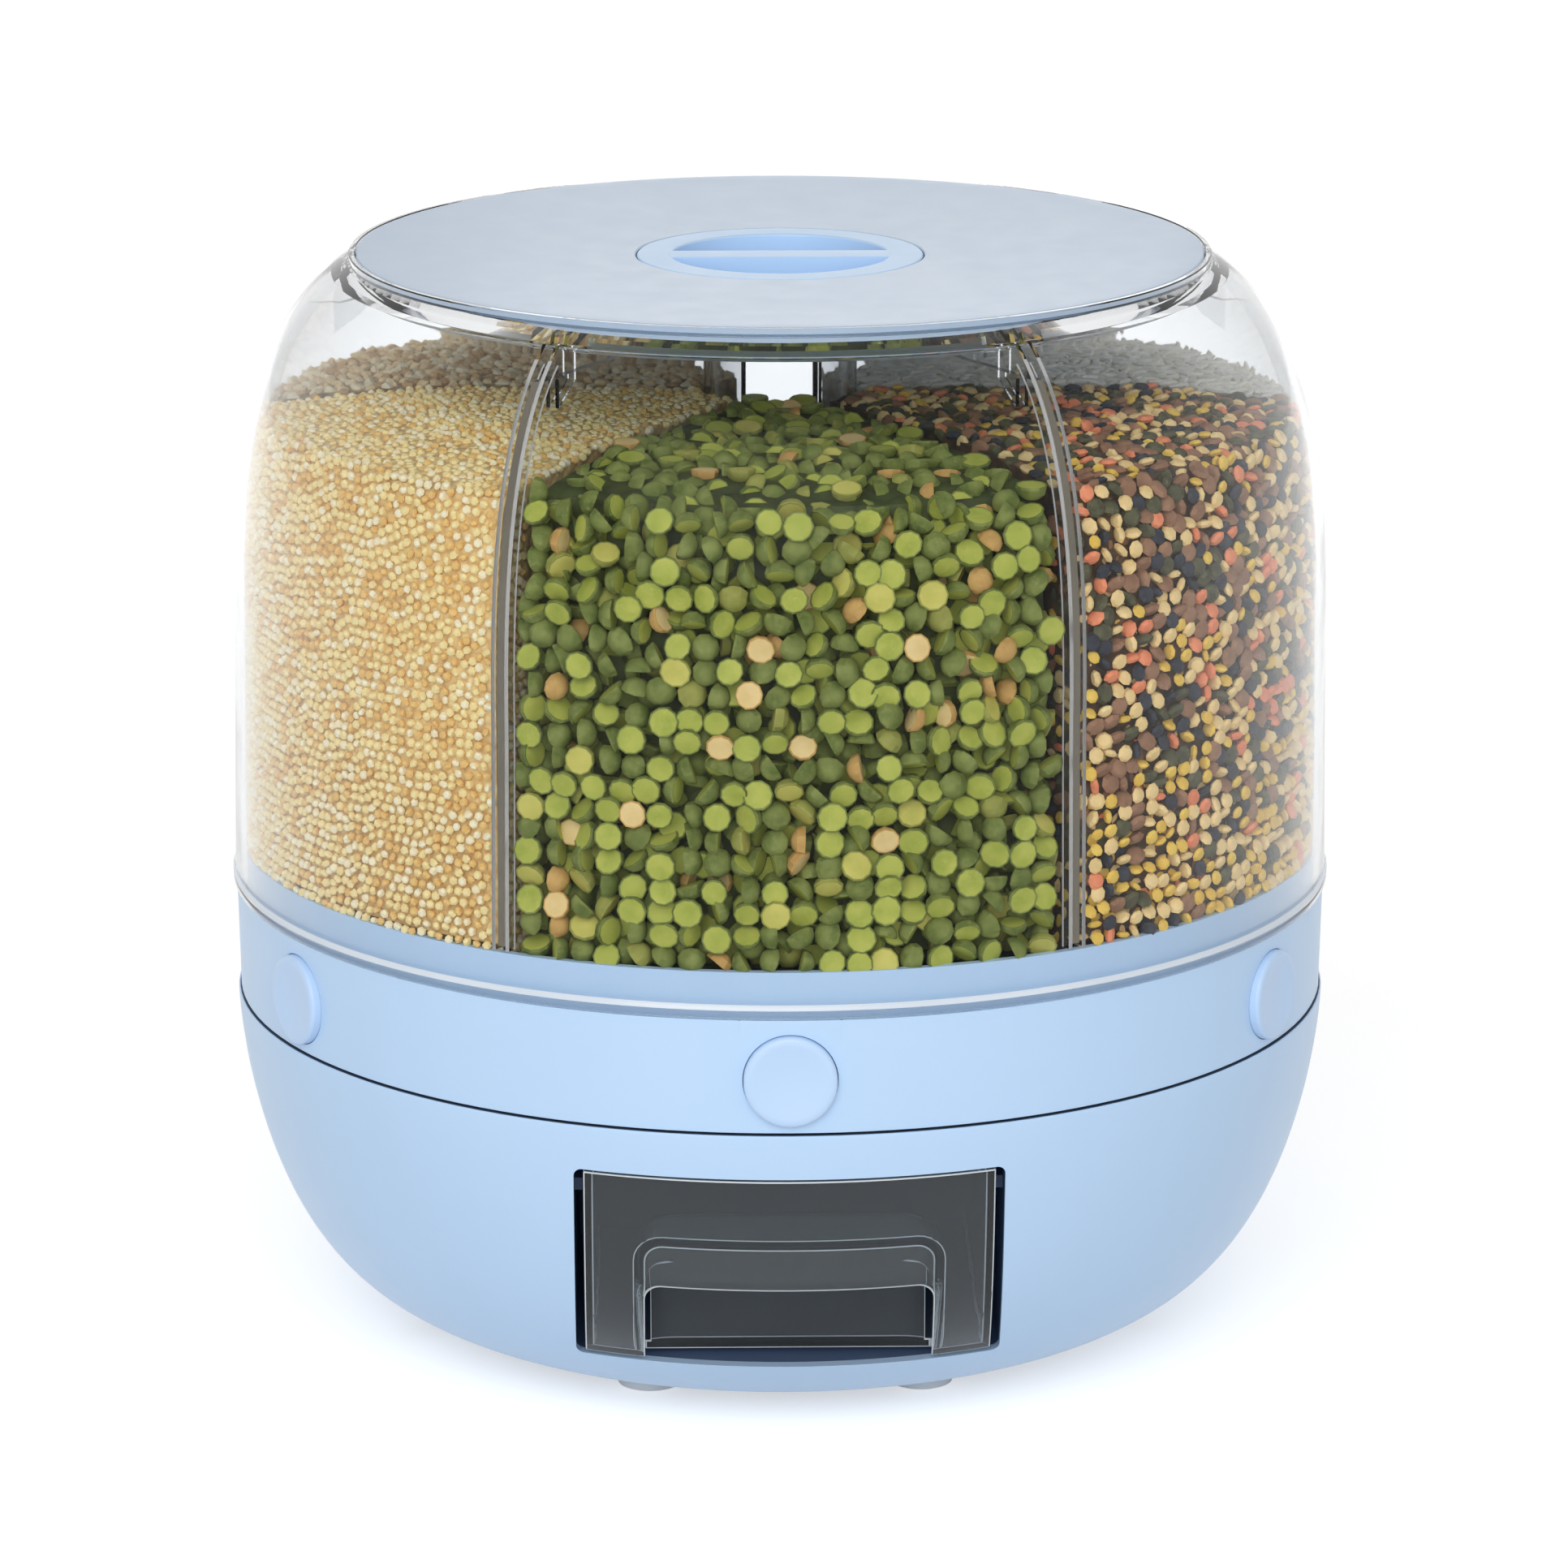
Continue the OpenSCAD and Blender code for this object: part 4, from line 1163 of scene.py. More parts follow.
@dataclass(frozen=True)
class Dome:
    """The curves of the clear shell, in millimetres."""

    bottom: float = 111.8
    top: float = 267.7
    outer_r: float = 135.9
    draft: float = 0.95
    centre_r: float = 75.75
    reach: float = 59.2
    rise: float = 96.4
    power: float = 2 / 2.7
    collar_r: float = 105.3
    collar_up: float = 1.9
    wall: float = 2.4
    steps: int = 36

    def _arch(self) -> list[Point]:
        """The arch from the straight wall to the collar.

        Returns:
            [radius, height] points, from low to high.
        """
        end = math.acos(((self.collar_r - self.centre_r) / self.reach) ** (1 / self.power))
        start = self.top - self.collar_up - self.rise * math.sin(end) ** self.power
        angles = [end * (step / self.steps) ** 1.4 for step in range(self.steps + 1)]
        return [(self.centre_r + self.reach * math.cos(a) ** self.power,
                 start + self.rise * math.sin(a) ** self.power) for a in angles]

    def path(self, depth: float = 0.0, bottom: "float | None" = None) -> list[Point]:
        """The curve from a height up to the collar, drawn in by a depth."""
        return inset([(self.outer_r, self.bottom if bottom is None else bottom), *self._arch()], depth)


@dataclass
class ClearShell:
    """The clear outer shell with its mouth, ledge and vane ribs."""

    dome: Dome = field(default_factory=Dome)
    bead: tuple[float, float] = (136.4, 2.6)
    neck_r: float = 103.7
    neck_low: float = 259.2
    ledge: tuple[float, float] = (101.2, 261.9)
    ledge_break: float = 15.0
    rib: tuple[float, float, float, float] = (1.0, 1.8, 123.1, 3.0)
    gusset: tuple[Point, ...] = ((101.2, 261.9), (101.2, 252.5), (108.7, 247.0), (108.7, 261.9))

    def shell(self) -> Mesh:
        """The shell, as one clear solid.

        Returns:
            A closed solid.
        """
        dome, (bead_r, bead_h) = self.dome, self.bead
        outer, inner = dome.path(), dome.path(dome.wall)
        inner = [p for p in inner if p[1] < self.neck_low + 3 and p[0] > self.neck_r + 0.6]
        low, top = dome.bottom, dome.top
        bead = low + bead_h
        outline = [(inner[0][0], low), (bead_r - 0.3, low), (bead_r, low + 0.3), (bead_r, bead - 0.4),
                   (bead_r - 0.2, bead), (outer[0][0] - 0.05, bead + 0.9),
                   *[p for p in outer if p[1] > low + 5],
                   (dome.collar_r, top - 0.3), (dome.collar_r - 0.3, top), (self.neck_r + 0.3, top),
                   (self.neck_r, top - 0.3), (self.neck_r, self.neck_low),
                   *[p for p in reversed(inner) if low + 1 < p[1] and p[0] > self.neck_r + 1.6]]
        shell = turned(outline)
        ledge_r, ledge_top = self.ledge
        ledge = turned([(ledge_r, self.neck_low), (self.neck_r + 0.8, self.neck_low),
                        (self.neck_r + 0.8, ledge_top), (ledge_r, ledge_top)])
        gap = block((-self.ledge_break / 2, -self.neck_r, self.neck_low - 1),
                    (self.ledge_break / 2, 0, ledge_top + 1))
        gaps = [copied(gap.copy(), [turn]) for turn in azimuths(HALF_STEP)]
        shell = changed(shell, Solid.ADD, changed(ledge, Solid.CUT, *gaps))
        thick, aside, bottom, deep = self.rib
        wall = [*dome.path(dome.wall / 2, bottom), *reversed(dome.path(dome.wall + deep, bottom))]
        for x in (-aside, aside):
            ribs = copied(upright(wall, thick, x), azimuths(HALF_STEP))
            gussets = copied(upright(self.gusset, thick, x), azimuths(HALF_STEP))
            shell = changed(shell, Solid.ADD, ribs, gussets)
        mouth = [(0, ledge_top), (self.neck_r, ledge_top), (self.neck_r, top + 5), (0, top + 5)]
        shell = changed(shell, Solid.CUT, turned(mouth, closed=False))
        self._paint_crest_highlights(shell)
        return shell

    def _paint_crest_highlights(self, shell: Mesh) -> None:
        """Paints the ribs' inner faces and the bead's top, where light catches in the clear plastic,
        with opaque pale finishes: painted highlights.

        Args:
            shell: the clear solid.
        """
        _, aside, bottom, deep = self.rib
        crest = self.dome.path(self.dome.wall + deep, bottom)
        bead = self.dome.bottom + self.bead[1]
        for face in shell.faces:
            middle = face.calc_center_median()
            azimuth = math.atan2(middle.x, -middle.y) % STATION_STEP - STATION_STEP / 2
            out, across = middle.xy.length * math.cos(azimuth), middle.xy.length * math.sin(azimuth)
            if abs(abs(across) - aside) < 0.35 and abs(out - between(crest, middle.z)) < 0.3:
                face.material_index = 1
            elif bead - 0.5 < middle.z < bead + 1 and middle.xy.length > self.dome.outer_r - 0.3:
                face.material_index = 2

    def build(self, nodes: dict[str, bpy.types.Object]) -> None:
        """Makes the shell and dresses the floor and screws inside it.

        Args:
            nodes: the CAD nodes by name.
        """
        finishes = (CLEAR, CLEAR_EDGE_HIGHLIGHT, BEAD_HIGHLIGHT)
        Piece("shell", "drum", finishes, Slot.CLEAR, ("clear_shell",)).make(self.shell())
        nodes["drum_floor"].material_slots[0].material = BLUE.material()
        nodes["ring_screws"].material_slots[0].material = STEEL.material()
        for k in range(1, STATIONS + 1):
            nodes[f"gate_{k}"].material_slots[0].material = WHITE.material()


@dataclass
class Vanes:
    """The clear vanes round their hub tube, and the cap on it."""

    dome: Dome = field(default_factory=Dome)
    hub_r: float = 19.8
    hub_wall: float = 2.0
    thick: float = 2.0
    low: float = 132.3
    top: float = 254.0
    edge_low: float = 124.0
    foot: tuple[Point, ...] = ((18.8, 132.3), (22.0, 132.3), (88.1, 95.5), (101.0, 95.5),
                               (130.4, 121.5), (130.4, 122.8))

    def vanes(self) -> Mesh:
        """The tube with its six vanes, as one clear solid.

        Returns:
            A closed solid.
        """
        edge = self.dome.path(self.dome.wall + 0.6)
        low, top, start, tube_r = self.low, self.top, self.edge_low, self.hub_r - self.hub_wall
        outline = [*self.foot, (between(edge, start), start), *[p for p in edge if start < p[1] < top],
                   (between(edge, top), top), (self.foot[0][0], top)]
        tube = turned([(tube_r, low), (self.hub_r, low), (self.hub_r, top), (tube_r, top)])
        vane = upright(outline, self.thick)
        for turn in azimuths(HALF_STEP):
            tube = changed(tube, Solid.ADD, copied(vane.copy(), [turn]))
        # The vanes' outer edges get painted shade, an opaque dark line for the edge of a clear vane.
        for face in tube.faces:
            middle = face.calc_center_median()
            if abs(middle.xy.length - between(edge, middle.z)) < 0.2 and middle.z > start:
                face.material_index = 1
        return tube

    def cap(self) -> Mesh:
        """The cap that closes the tube.

        Returns:
            A closed solid.
        """
        r, top = self.hub_r, self.top + 0.3
        plug_r, low = r - self.hub_wall - 0.3, self.top - 4
        return turned([(0, low), (plug_r, low), (plug_r, top), (r, top), (r, top + 0.9),
                       (r - 0.3, top + 1.2), (0, top + 1.2)], closed=False, steps=SMALL_STEPS * 2)

    def build(self) -> None:
        """Makes the vanes and the cap."""
        Piece("vanes", "drum", (CLEAR, VANE_EDGE_SHADE), Slot.CLEAR, ("divider",)).make(self.vanes())
        Piece("tube_cap", "drum", (CLEAR,), Slot.CLEAR, ("hub_cap",)).make(self.cap())


# -------------------------------------------------------------------- lid


@dataclass
class Lid:
    """The dished lid, its grip insert and its seal."""

    rim_r: float = 103.4
    centre_z: float = 265.85
    dish: float = 1.85
    thick: float = 2.2
    grip_r: float = 26.6
    flange_r: float = 35.0
    bar: float = 4.4
    bar_wall: float = 1.8
    cup_depth: float = 8.0
    seat_drop: float = 1.5
    web: tuple[float, float] = (38.0, 2.2)
    groove: tuple[float, float, float] = (102.1, 263.9, 266.1)
    skirt: tuple[float, float, float] = (100.1, 103.1, 262.2)
    seal_r: tuple[float, float, float] = (102.2, 103.2, 103.55)
    seal_low: float = 264.0

    def height(self, radius: float) -> float:
        """The height of the lid's top at a radius."""
        return self.centre_z + self.dish * (radius / self.rim_r) ** 2

    def lid(self) -> Mesh:
        """The lid, with a step for the grip and a groove for the seal.

        Returns:
            A closed solid.
        """
        seat = self.height(self.flange_r) - self.seat_drop
        web_r, web_h = self.web
        step_r = self.flange_r + 0.3
        radii = [step_r + (self.rim_r - 0.4 - step_r) * i / 16 for i in range(17)]
        top = [(r, self.height(r)) for r in radii]
        under = [(r, self.height(r) - self.thick) for r in radii if 40 < r < 99]
        edge = self.height(self.rim_r)
        groove_r, groove_low, groove_high = self.groove
        inside, outside, low = self.skirt
        rim = [(self.rim_r - 0.1, edge - 0.15), (self.rim_r, edge - 0.4), (self.rim_r, groove_high),
               (groove_r, groove_high), (groove_r, groove_low), (outside, groove_low),
               (outside, low + 0.2), (outside - 0.2, low), (inside + 0.2, low), (inside, low + 0.2),
               (inside, low + 3.1)]
        bore_r = self.grip_r + 2.1
        return turned([(bore_r, seat - web_h), (bore_r, seat), (step_r, seat),
                       (step_r, top[0][1] - 0.3), (step_r + 0.3, top[0][1]), *top[1:], *rim,
                       *reversed(under), (web_r, self.height(web_r) - self.thick),
                       (web_r, seat - web_h)])

    def grip(self) -> Mesh:
        """The insert: a round recess under a flange, with a hollow bar across it.

        Returns:
            A closed solid.
        """
        top = self.height(self.flange_r)
        floor, wall_r, under = top - self.cup_depth, self.grip_r + 1.8, top - self.cup_depth - 1.8
        cup = turned([(0, floor), (self.grip_r - 1, floor), (self.grip_r - 0.3, floor + 0.3),
                      (self.grip_r, floor + 1), (self.grip_r, top - 0.6),
                      (self.grip_r + 0.2, top - 0.2), (self.grip_r + 0.6, top),
                      (self.flange_r - 0.3, top), (self.flange_r, top - 0.3),
                      (self.flange_r, top - 1.2), (wall_r, top - 1.2), (wall_r, under),
                      (0, under)], closed=False, steps=2 * SMALL_STEPS)
        r, half = self.grip_r + 0.4, self.bar
        cup = changed(cup, Solid.ADD, block((-r, -half, floor - 0.9), (r, half, top - 0.02)))
        room = half - self.bar_wall
        cup = changed(cup, Solid.CUT, block((-self.grip_r, -room, floor - 3),
                                            (self.grip_r, room, top - self.bar_wall - 1)))
        return eased(cup, 0.4, lambda at: abs(abs(at.y) - half) < 0.05 and at.z > top - 0.1
                     and abs(at.x) < self.grip_r - 0.5)

    def seal(self) -> Mesh:
        """The soft ring in the lid's groove, with two lips.

        Returns:
            A closed solid.
        """
        root, waist, lip = self.seal_r
        side = ((root, 0), (waist, 0), (lip, 0.3), (lip, 0.6), (waist, 0.9), (waist, 1.1), (lip, 1.4),
                (lip, 1.7), (waist, 2), (root, 2))
        return turned([(radius, self.seal_low + up) for radius, up in side])

    def build(self) -> None:
        """Makes the lid's pieces."""
        Piece("lid_top", "lid", (BLUE_LID_SHADE_SHEEN,), Slot.BLUE, ("lid",)).make(self.lid())
        Piece("grip", "lid", (BLUE,), Slot.BLUE, ("lid_grip",)).make(self.grip())
        Piece("seal", "lid", (SEAL,), Slot.SILICONE, ("lid_seal",)).make(self.seal())


# ------------------------------------------------------------------ grain


@dataclass(frozen=True)
class Coat:
    """One look among a grain's: its share, finishes, size, and how much it sinks.

    Its face is the flat side of a split grain. It is "sunk" times as common at
    the foot of the fill as at the top.
    """

    share: float
    skin: Husk
    face: "Husk | None" = None
    scale: float = 1.0
    sunk: float = 1.0

    def weight(self, height: float) -> float:
        """Its share at a height, from 0 at the foot to 1 at the top."""
        return self.share * self.sunk ** (1 - height)


@dataclass(frozen=True)
class Grain:
    """One kind of grain: its form, its colours and how it lies.

    The size is its length along X, Y and Z in millimetres. Its Z side lies
    against the wall for a share of the grains, and the rest lie any way round.
    """

    name: str
    slot: Slot
    size: tuple[float, float, float]
    facets: tuple[int, int]
    spacing: float
    layers: int
    layer_step: float
    coats: tuple[Coat, ...]
    heap: Heap
    flat_share: float = 0.5
    tilt: float = 0.35
    uneven: float = 0.0
    halved: bool = False
    pieces: int = 1

    def finishes(self) -> tuple[Finish, ...]:
        """The coats' finishes, two for each coat."""
        return tuple(finish for coat in self.coats for finish in (coat.skin, coat.face or coat.skin))

    def grains(self, dice: random.Random) -> list[bpy.types.Mesh]:
        """A few meshes of single grains for each coat."""
        return [self._grain(coat, dice) for coat in range(len(self.coats)) for _ in range(FORMS)]

    def _grain(self, coat: int, dice: random.Random) -> bpy.types.Mesh:
        """One grain's mesh, in a coat's two finishes.

        Args:
            coat: which of the coats it wears.
            dice: what its form is drawn from.

        Returns:
            The grain, round its own middle.
        """
        bm = bmesh.new()
        across, up = self.facets
        bmesh.ops.create_uvsphere(bm, u_segments=across, v_segments=up, radius=0.5)
        for vert in bm.verts:
            vert.co *= 1 + dice.uniform(-self.uneven, self.uneven)
        for face in bm.faces:
            face.material_index = 2 * coat
        if self.halved:
            rim = sliced(bm, (0, 0, 0.07), (0, 0, 1))
            caps = bmesh.ops.holes_fill(bm, edges=rim, sides=2 * across)["faces"]
            for cap in caps:
                cap.material_index = 2 * coat + 1
            rim = bmesh.ops.inset_individual(bm, faces=caps, thickness=0.045, depth=-0.012,
                                             use_even_offset=True)
            for face in rim["faces"]:
                face.material_index = 2 * coat
        grow = dice.uniform(0.9, 1.06) * self.coats[coat].scale
        bmesh.ops.scale(bm, vec=[side * grow for side in self.size], verts=bm.verts[:])
        for face in bm.faces:
            face.smooth = len(face.verts) < 5
        return stored(bm, "grain")


@dataclass
class Compartment:
    """The room between two vanes, the floor, the hub and the shell."""

    azimuth: float
    dome: Dome = field(default_factory=Dome)
    low: float = 122.7
    hub_r: float = 19.8
    floor: tuple[Point, ...] = ((22.0, 132.0), (88.0, 95.2), (101.0, 95.2), (131.0, 121.2))
    wall_r: float = 133.0
    fill_z: float = 229.5
    mound: tuple[float, float, float] = (4.5, 128.0, 40.0)
    vane_clear: float = 1.1
    rib_clear: tuple[float, float] = (2.5, 3.3)
    half: float = math.pi / STATIONS

    def __post_init__(self) -> None:
        """Works out the wall and the two vanes, seen from the compartment's own front."""
        self.wall = self.dome.path(self.dome.wall)
        self.vanes = [(Vector((-side * math.cos(self.half), -math.sin(self.half), 0)), side)
                      for side in (-1, 1)]
        self.turn = Matrix.Rotation(self.azimuth, 4, "Z")

    def floor_z(self, radius: float) -> float:
        """The height of the floor at a radius.

        Args:
            radius: how far out to look.

        Returns:
            The floor's height there.
        """
        for (r0, z0), (r1, z1) in zip(self.floor, self.floor[1:]):
            if r0 <= radius <= r1:
                return z0 + (z1 - z0) * (radius - r0) / (r1 - r0)
        return self.floor[0][1] if radius < self.floor[0][0] else self.floor[-1][1]

    def top_z(self, radius: float) -> float:
        """The height of the heap at a radius."""
        rise, start_r, length = self.mound
        return self.fill_z + rise * min(1.0, (start_r - radius) / length)

    def holds(self, point: Vector) -> bool:
        """Whether a point is clear of the vanes, their ribs, the hub and the wall.

        Args:
            point: a place, seen from the compartment's own front.

        Returns:
            True where a grain's corner may be.
        """
        radius = point.xy.length
        edge = between(self.wall, point.z)
        rib_clear, rib_deep = self.rib_clear
        clear = rib_clear if radius > edge - rib_deep else self.vane_clear
        return self.hub_r + 0.2 < radius < edge - 0.05 and all(
            inward.dot(point) > clear for inward, _ in self.vanes)

    def wall_places(self, spacing: float, dice: random.Random) -> Iterable[Place]:
        """Places over the shell's wall, each with its outward direction.

        Args:
            spacing: how far apart they are.
            dice: what shifts them.

        Returns:
            The places, from low to high.
        """
        height, row = self.low + spacing / 2, 0
        while height < self.top_z(125) + 0.2 * spacing:
            radius = between(self.wall, height)
            lean = (between(self.wall, height + 1) - between(self.wall, height - 1)) / 2
            count = int(2 * self.half * radius / spacing)
            for column in range(count + 1):
                across = column + 0.5 * (row % 2) + dice.uniform(-SHIFT, SHIFT)
                angle = -self.half + across * spacing / radius
                out = Vector((math.sin(angle), -math.cos(angle), -lean)).normalized()
                at = height + dice.uniform(-SHIFT, SHIFT) * spacing
                edge = between(self.wall, at)
                yield Vector((edge * math.sin(angle), -edge * math.cos(angle), at)), out
            height += ROW * spacing / math.hypot(1, lean)
            row += 1

    def top_places(self, spacing: float, dice: random.Random) -> Iterable[Place]:
        """Places over the top of the heap.

        Args:
            spacing: how far apart they are.
            dice: what shifts them.

        Returns:
            The places, with the way up.
        """
        radius = self.hub_r + spacing / 2
        while radius < between(self.wall, 231) - spacing / 3:
            count = int(2 * self.half * radius / spacing)
            for column in range(count + 1):
                angle = -self.half + (column + dice.uniform(0, 1)) * spacing / radius
                away = radius + dice.uniform(-SHIFT, SHIFT) * spacing
                height = self.top_z(away) + dice.uniform(0.1, 0.6) * spacing
                place = Vector((away * math.sin(angle), -away * math.cos(angle), height))
                yield place, Vector((0, 0, 1))
            radius += ROW * spacing

    def vane_places(self, side: int, spacing: float, dice: random.Random) -> Iterable[Place]:
        """Places over one vane.

        Args:
            side: -1 or 1, for the vane on that side.
            spacing: how far apart they are.
            dice: what shifts them.

        Returns:
            The places, with the way to the vane.
        """
        along = Vector((side * math.sin(self.half), -math.cos(self.half), 0))
        out = Vector((side * math.cos(self.half), math.sin(self.half), 0))
        radius = self.hub_r + spacing / 2
        while radius < self.wall_r:
            height = self.floor_z(radius) + spacing / 2 + dice.uniform(0, 0.4) * spacing
            while height < self.top_z(radius):
                drift = dice.uniform(-SHIFT, SHIFT) * spacing
                yield along * (radius + drift) - out * self.vane_clear + Vector((0, 0, height)), out
                height += spacing * dice.uniform(0.9, 1.1)
            radius += ROW * spacing


@dataclass
class Fill:
    """The grain in one compartment: loose grains all over a lumpy heap."""

    grain: Grain
    room: Compartment
    sides: tuple[int, ...] = ()
    edge_depth: float = 14.0
    vane_gap: float = 2.6
    floor_gap: float = 1.5
    top_gap: float = 1.5
    sorted_height: float = 105.0
    wall_gap: float = 0.15
    seed: int = 1

    def heap(self) -> Mesh:
        """The heap that fills the room behind the outer grains.

        Returns:
            A closed solid.
        """
        room, grain = self.room, self.grain
        depth = min(grain.size) * (0.5 + 0.75 * (grain.layers - 1) * grain.layer_step)
        behind = room.dome.path(room.dome.wall + depth)
        wall = [p for p in behind if room.low < p[1] < room.fill_z - self.top_gap]
        floor = [(r, z + self.floor_gap) for r, z in room.floor[1:3]]
        start_r = room.hub_r + 1.2
        start = (start_r, room.floor_z(start_r) + self.floor_gap)
        outline = [start, *floor, (wall[0][0] - 4.5, room.low - 2),
                   (wall[0][0], room.low + 1), *wall, (wall[-1][0] - 1, room.fill_z - 1)]
        top = [(r, room.top_z(r) - 0.15 * max(grain.size)) for r in (122, 112, 100, 80, 50, start_r)]
        outline += [point for point in top if point[0] < wall[-1][0] - 2]
        heap = swept(outline, -room.half, 2 * room.half, 24)
        for inward, _ in room.vanes:
            bmesh.ops.holes_fill(heap, edges=sliced(heap, inward * self.vane_gap, -inward), sides=0)
        return copied(sound(heap), [room.turn])

    def _turned(self, out: Vector, dice: random.Random) -> Matrix:
        """A way for a grain to lie on a surface.

        Args:
            out: the surface's outward direction.
            dice: what it is drawn from.

        Returns:
            The grain's turn.
        """
        face = out.to_track_quat("Z", "Y").to_matrix()
        spin = Matrix.Rotation(dice.uniform(0, math.tau), 3, "Z")
        if dice.random() < self.grain.flat_share:
            lean = Matrix.Rotation(dice.gauss(0, self.grain.tilt), 3, "X")
        else:
            lean = Matrix.Rotation(dice.uniform(0, math.tau), 3, "X") @ Matrix.Rotation(
                dice.uniform(0, math.tau), 3, "Y")
        return face @ lean @ spin

    def _places(self, dice: random.Random) -> Iterable[tuple[Vector, Vector, float]]:
        """Every place that a grain may have, with its outward direction and how deep it lies.

        Args:
            dice: what shifts them.

        Returns:
            The places.
        """
        step, small = 0.7 * self.grain.spacing, min(self.grain.size)
        for layer in range(self.grain.layers):
            for place, out in self.room.wall_places(step, dice):
                yield place, out, (layer * self.grain.layer_step + dice.uniform(0, 0.12)) * small
        for place, out in self.room.top_places(step, dice):
            yield place, out, 0.0
        for _, side in self.room.vanes:
            reach = 0.0 if side in self.sides else self.room.wall_r - self.edge_depth
            for place, out in self.room.vane_places(side, step, dice):
                if place.xy.length > reach:
                    yield place, out, dice.uniform(0, 0.2) * small

    def _near(self, at: Vector) -> Iterable[tuple[int, int, int]]:
        """The cells round a place, its own first, on a grid of the spacing.

        Args:
            at: the place.

        Returns:
            The cells' numbers.
        """
        own = [math.floor(value / self.grain.spacing) for value in at]
        for x, y, z in product((0, -1, 1), repeat=3):
            yield own[0] + x, own[1] + y, own[2] + z

    def loose(self) -> list[Mesh]:
        """The loose grains, none too near another, in as many meshes as the grain has pieces.

        Returns:
            The meshes.
        """
        dice = random.Random(self.seed)
        grains = self.grain.grains(dice)
        points = [[vert.co.copy() for vert in mesh.vertices] for mesh in grains]
        meshes = [bmesh.new() for _ in range(self.grain.pieces)]
        laid, taken = 0, {}
        for place, out, depth in self._places(dice):
            middle = place - out * (depth + min(self.grain.size) / 2)
            if any((other - middle).length < self.grain.spacing
                   for cell in self._near(middle) for other in taken.get(cell, ())):
                continue
            height = min(max((place.z - self.room.low) / self.sorted_height, 0), 1)
            shares = [coat.weight(height) for coat in self.grain.coats for _ in range(FORMS)]
            pick = dice.choices(range(len(grains)), shares)[0]
            way = self._turned(out, dice)
            corners = [way @ point for point in points[pick]]
            rest = place - out * (max(out.dot(c) for c in corners) + self.wall_gap + depth)
            if not all(self.room.holds(rest + corner) for corner in corners):
                continue
            taken.setdefault(next(self._near(middle)), []).append(middle)
            copy = grains[pick].copy()
            copy.transform(self.room.turn @ Matrix.Translation(rest) @ way.to_4x4())
            meshes[laid % len(meshes)].from_mesh(copy)
            bpy.data.meshes.remove(copy)
            laid += 1
        LOG.info("%s: %d grains", self.grain.name, laid)
        return meshes

    def build(self) -> None:
        """Makes the heap and its loose grains."""
        grain = self.grain
        Piece(f"{grain.name}_heap", "drum", (grain.heap,), grain.slot).make(self.heap())
        for index, bm in enumerate(self.loose(), 1):
            Piece(f"{grain.name}_{index}", "drum", grain.finishes(), grain.slot).make(bm)


def peas() -> Grain:
    """Green split peas: halves with a pale cut face and a dusty round back.

    Returns:
        The kind of grain.
    """
    dust = (178, 182, 132)
    green = Husk("pea_back_green", (134, 143, 76), (94, 108, 46), dust)
    cut = Husk("pea_cut_green", (186, 190, 88), (160, 170, 70), (216, 216, 146), 200, 0.5, 0.05)
    olive = Husk("pea_back_olive", (164, 164, 84), (140, 142, 66), dust)
    yellow = Husk("pea_cut_yellow", (212, 204, 108), (192, 186, 90), (214, 212, 150), 200, 0.5, 0.05)
    tan = Husk("pea_back_tan", (208, 168, 100), (188, 146, 82), (226, 200, 150))
    cream = Husk("pea_cut_cream", (240, 212, 150), (224, 194, 128), (236, 220, 180), 200, 0.5, 0.05)
    return Grain("split_peas", Slot.PEAS, (7.2, 6.9, 6.2), (10, 6), 4.7, 4, 0.5,
                 (Coat(0.84, green, cut), Coat(0.1, olive, yellow), Coat(0.06, tan, cream)),
                 Heap("split_peas_heap", (38, 44, 18), (80, 92, 38), 6.5), 0.3, 0.45, 0.02, True, 2)


def quinoa() -> Grain:
    """Small round pale beads.

    Returns:
        The kind of grain.
    """
    dust = (250, 230, 194)
    cream = Husk("quinoa_cream", (255, 238, 178), (250, 224, 154), dust, 700)
    pale = Husk("quinoa_pale", (255, 248, 216), (255, 238, 192), dust, 700)
    tan = Husk("quinoa_tan", (246, 208, 134), (234, 188, 108), dust, 700)
    return Grain("quinoa_beads", Slot.QUINOA, (2.35, 2.35, 1.75), (6, 4), 1.95, 2, 0.6,
                 (Coat(0.5, cream), Coat(0.25, pale), Coat(0.25, tan)),
                 Heap("quinoa_heap_painted_shade", (206, 160, 94), (255, 230, 168), 2.2), 0.4, 0.5, 0.04, pieces=3)


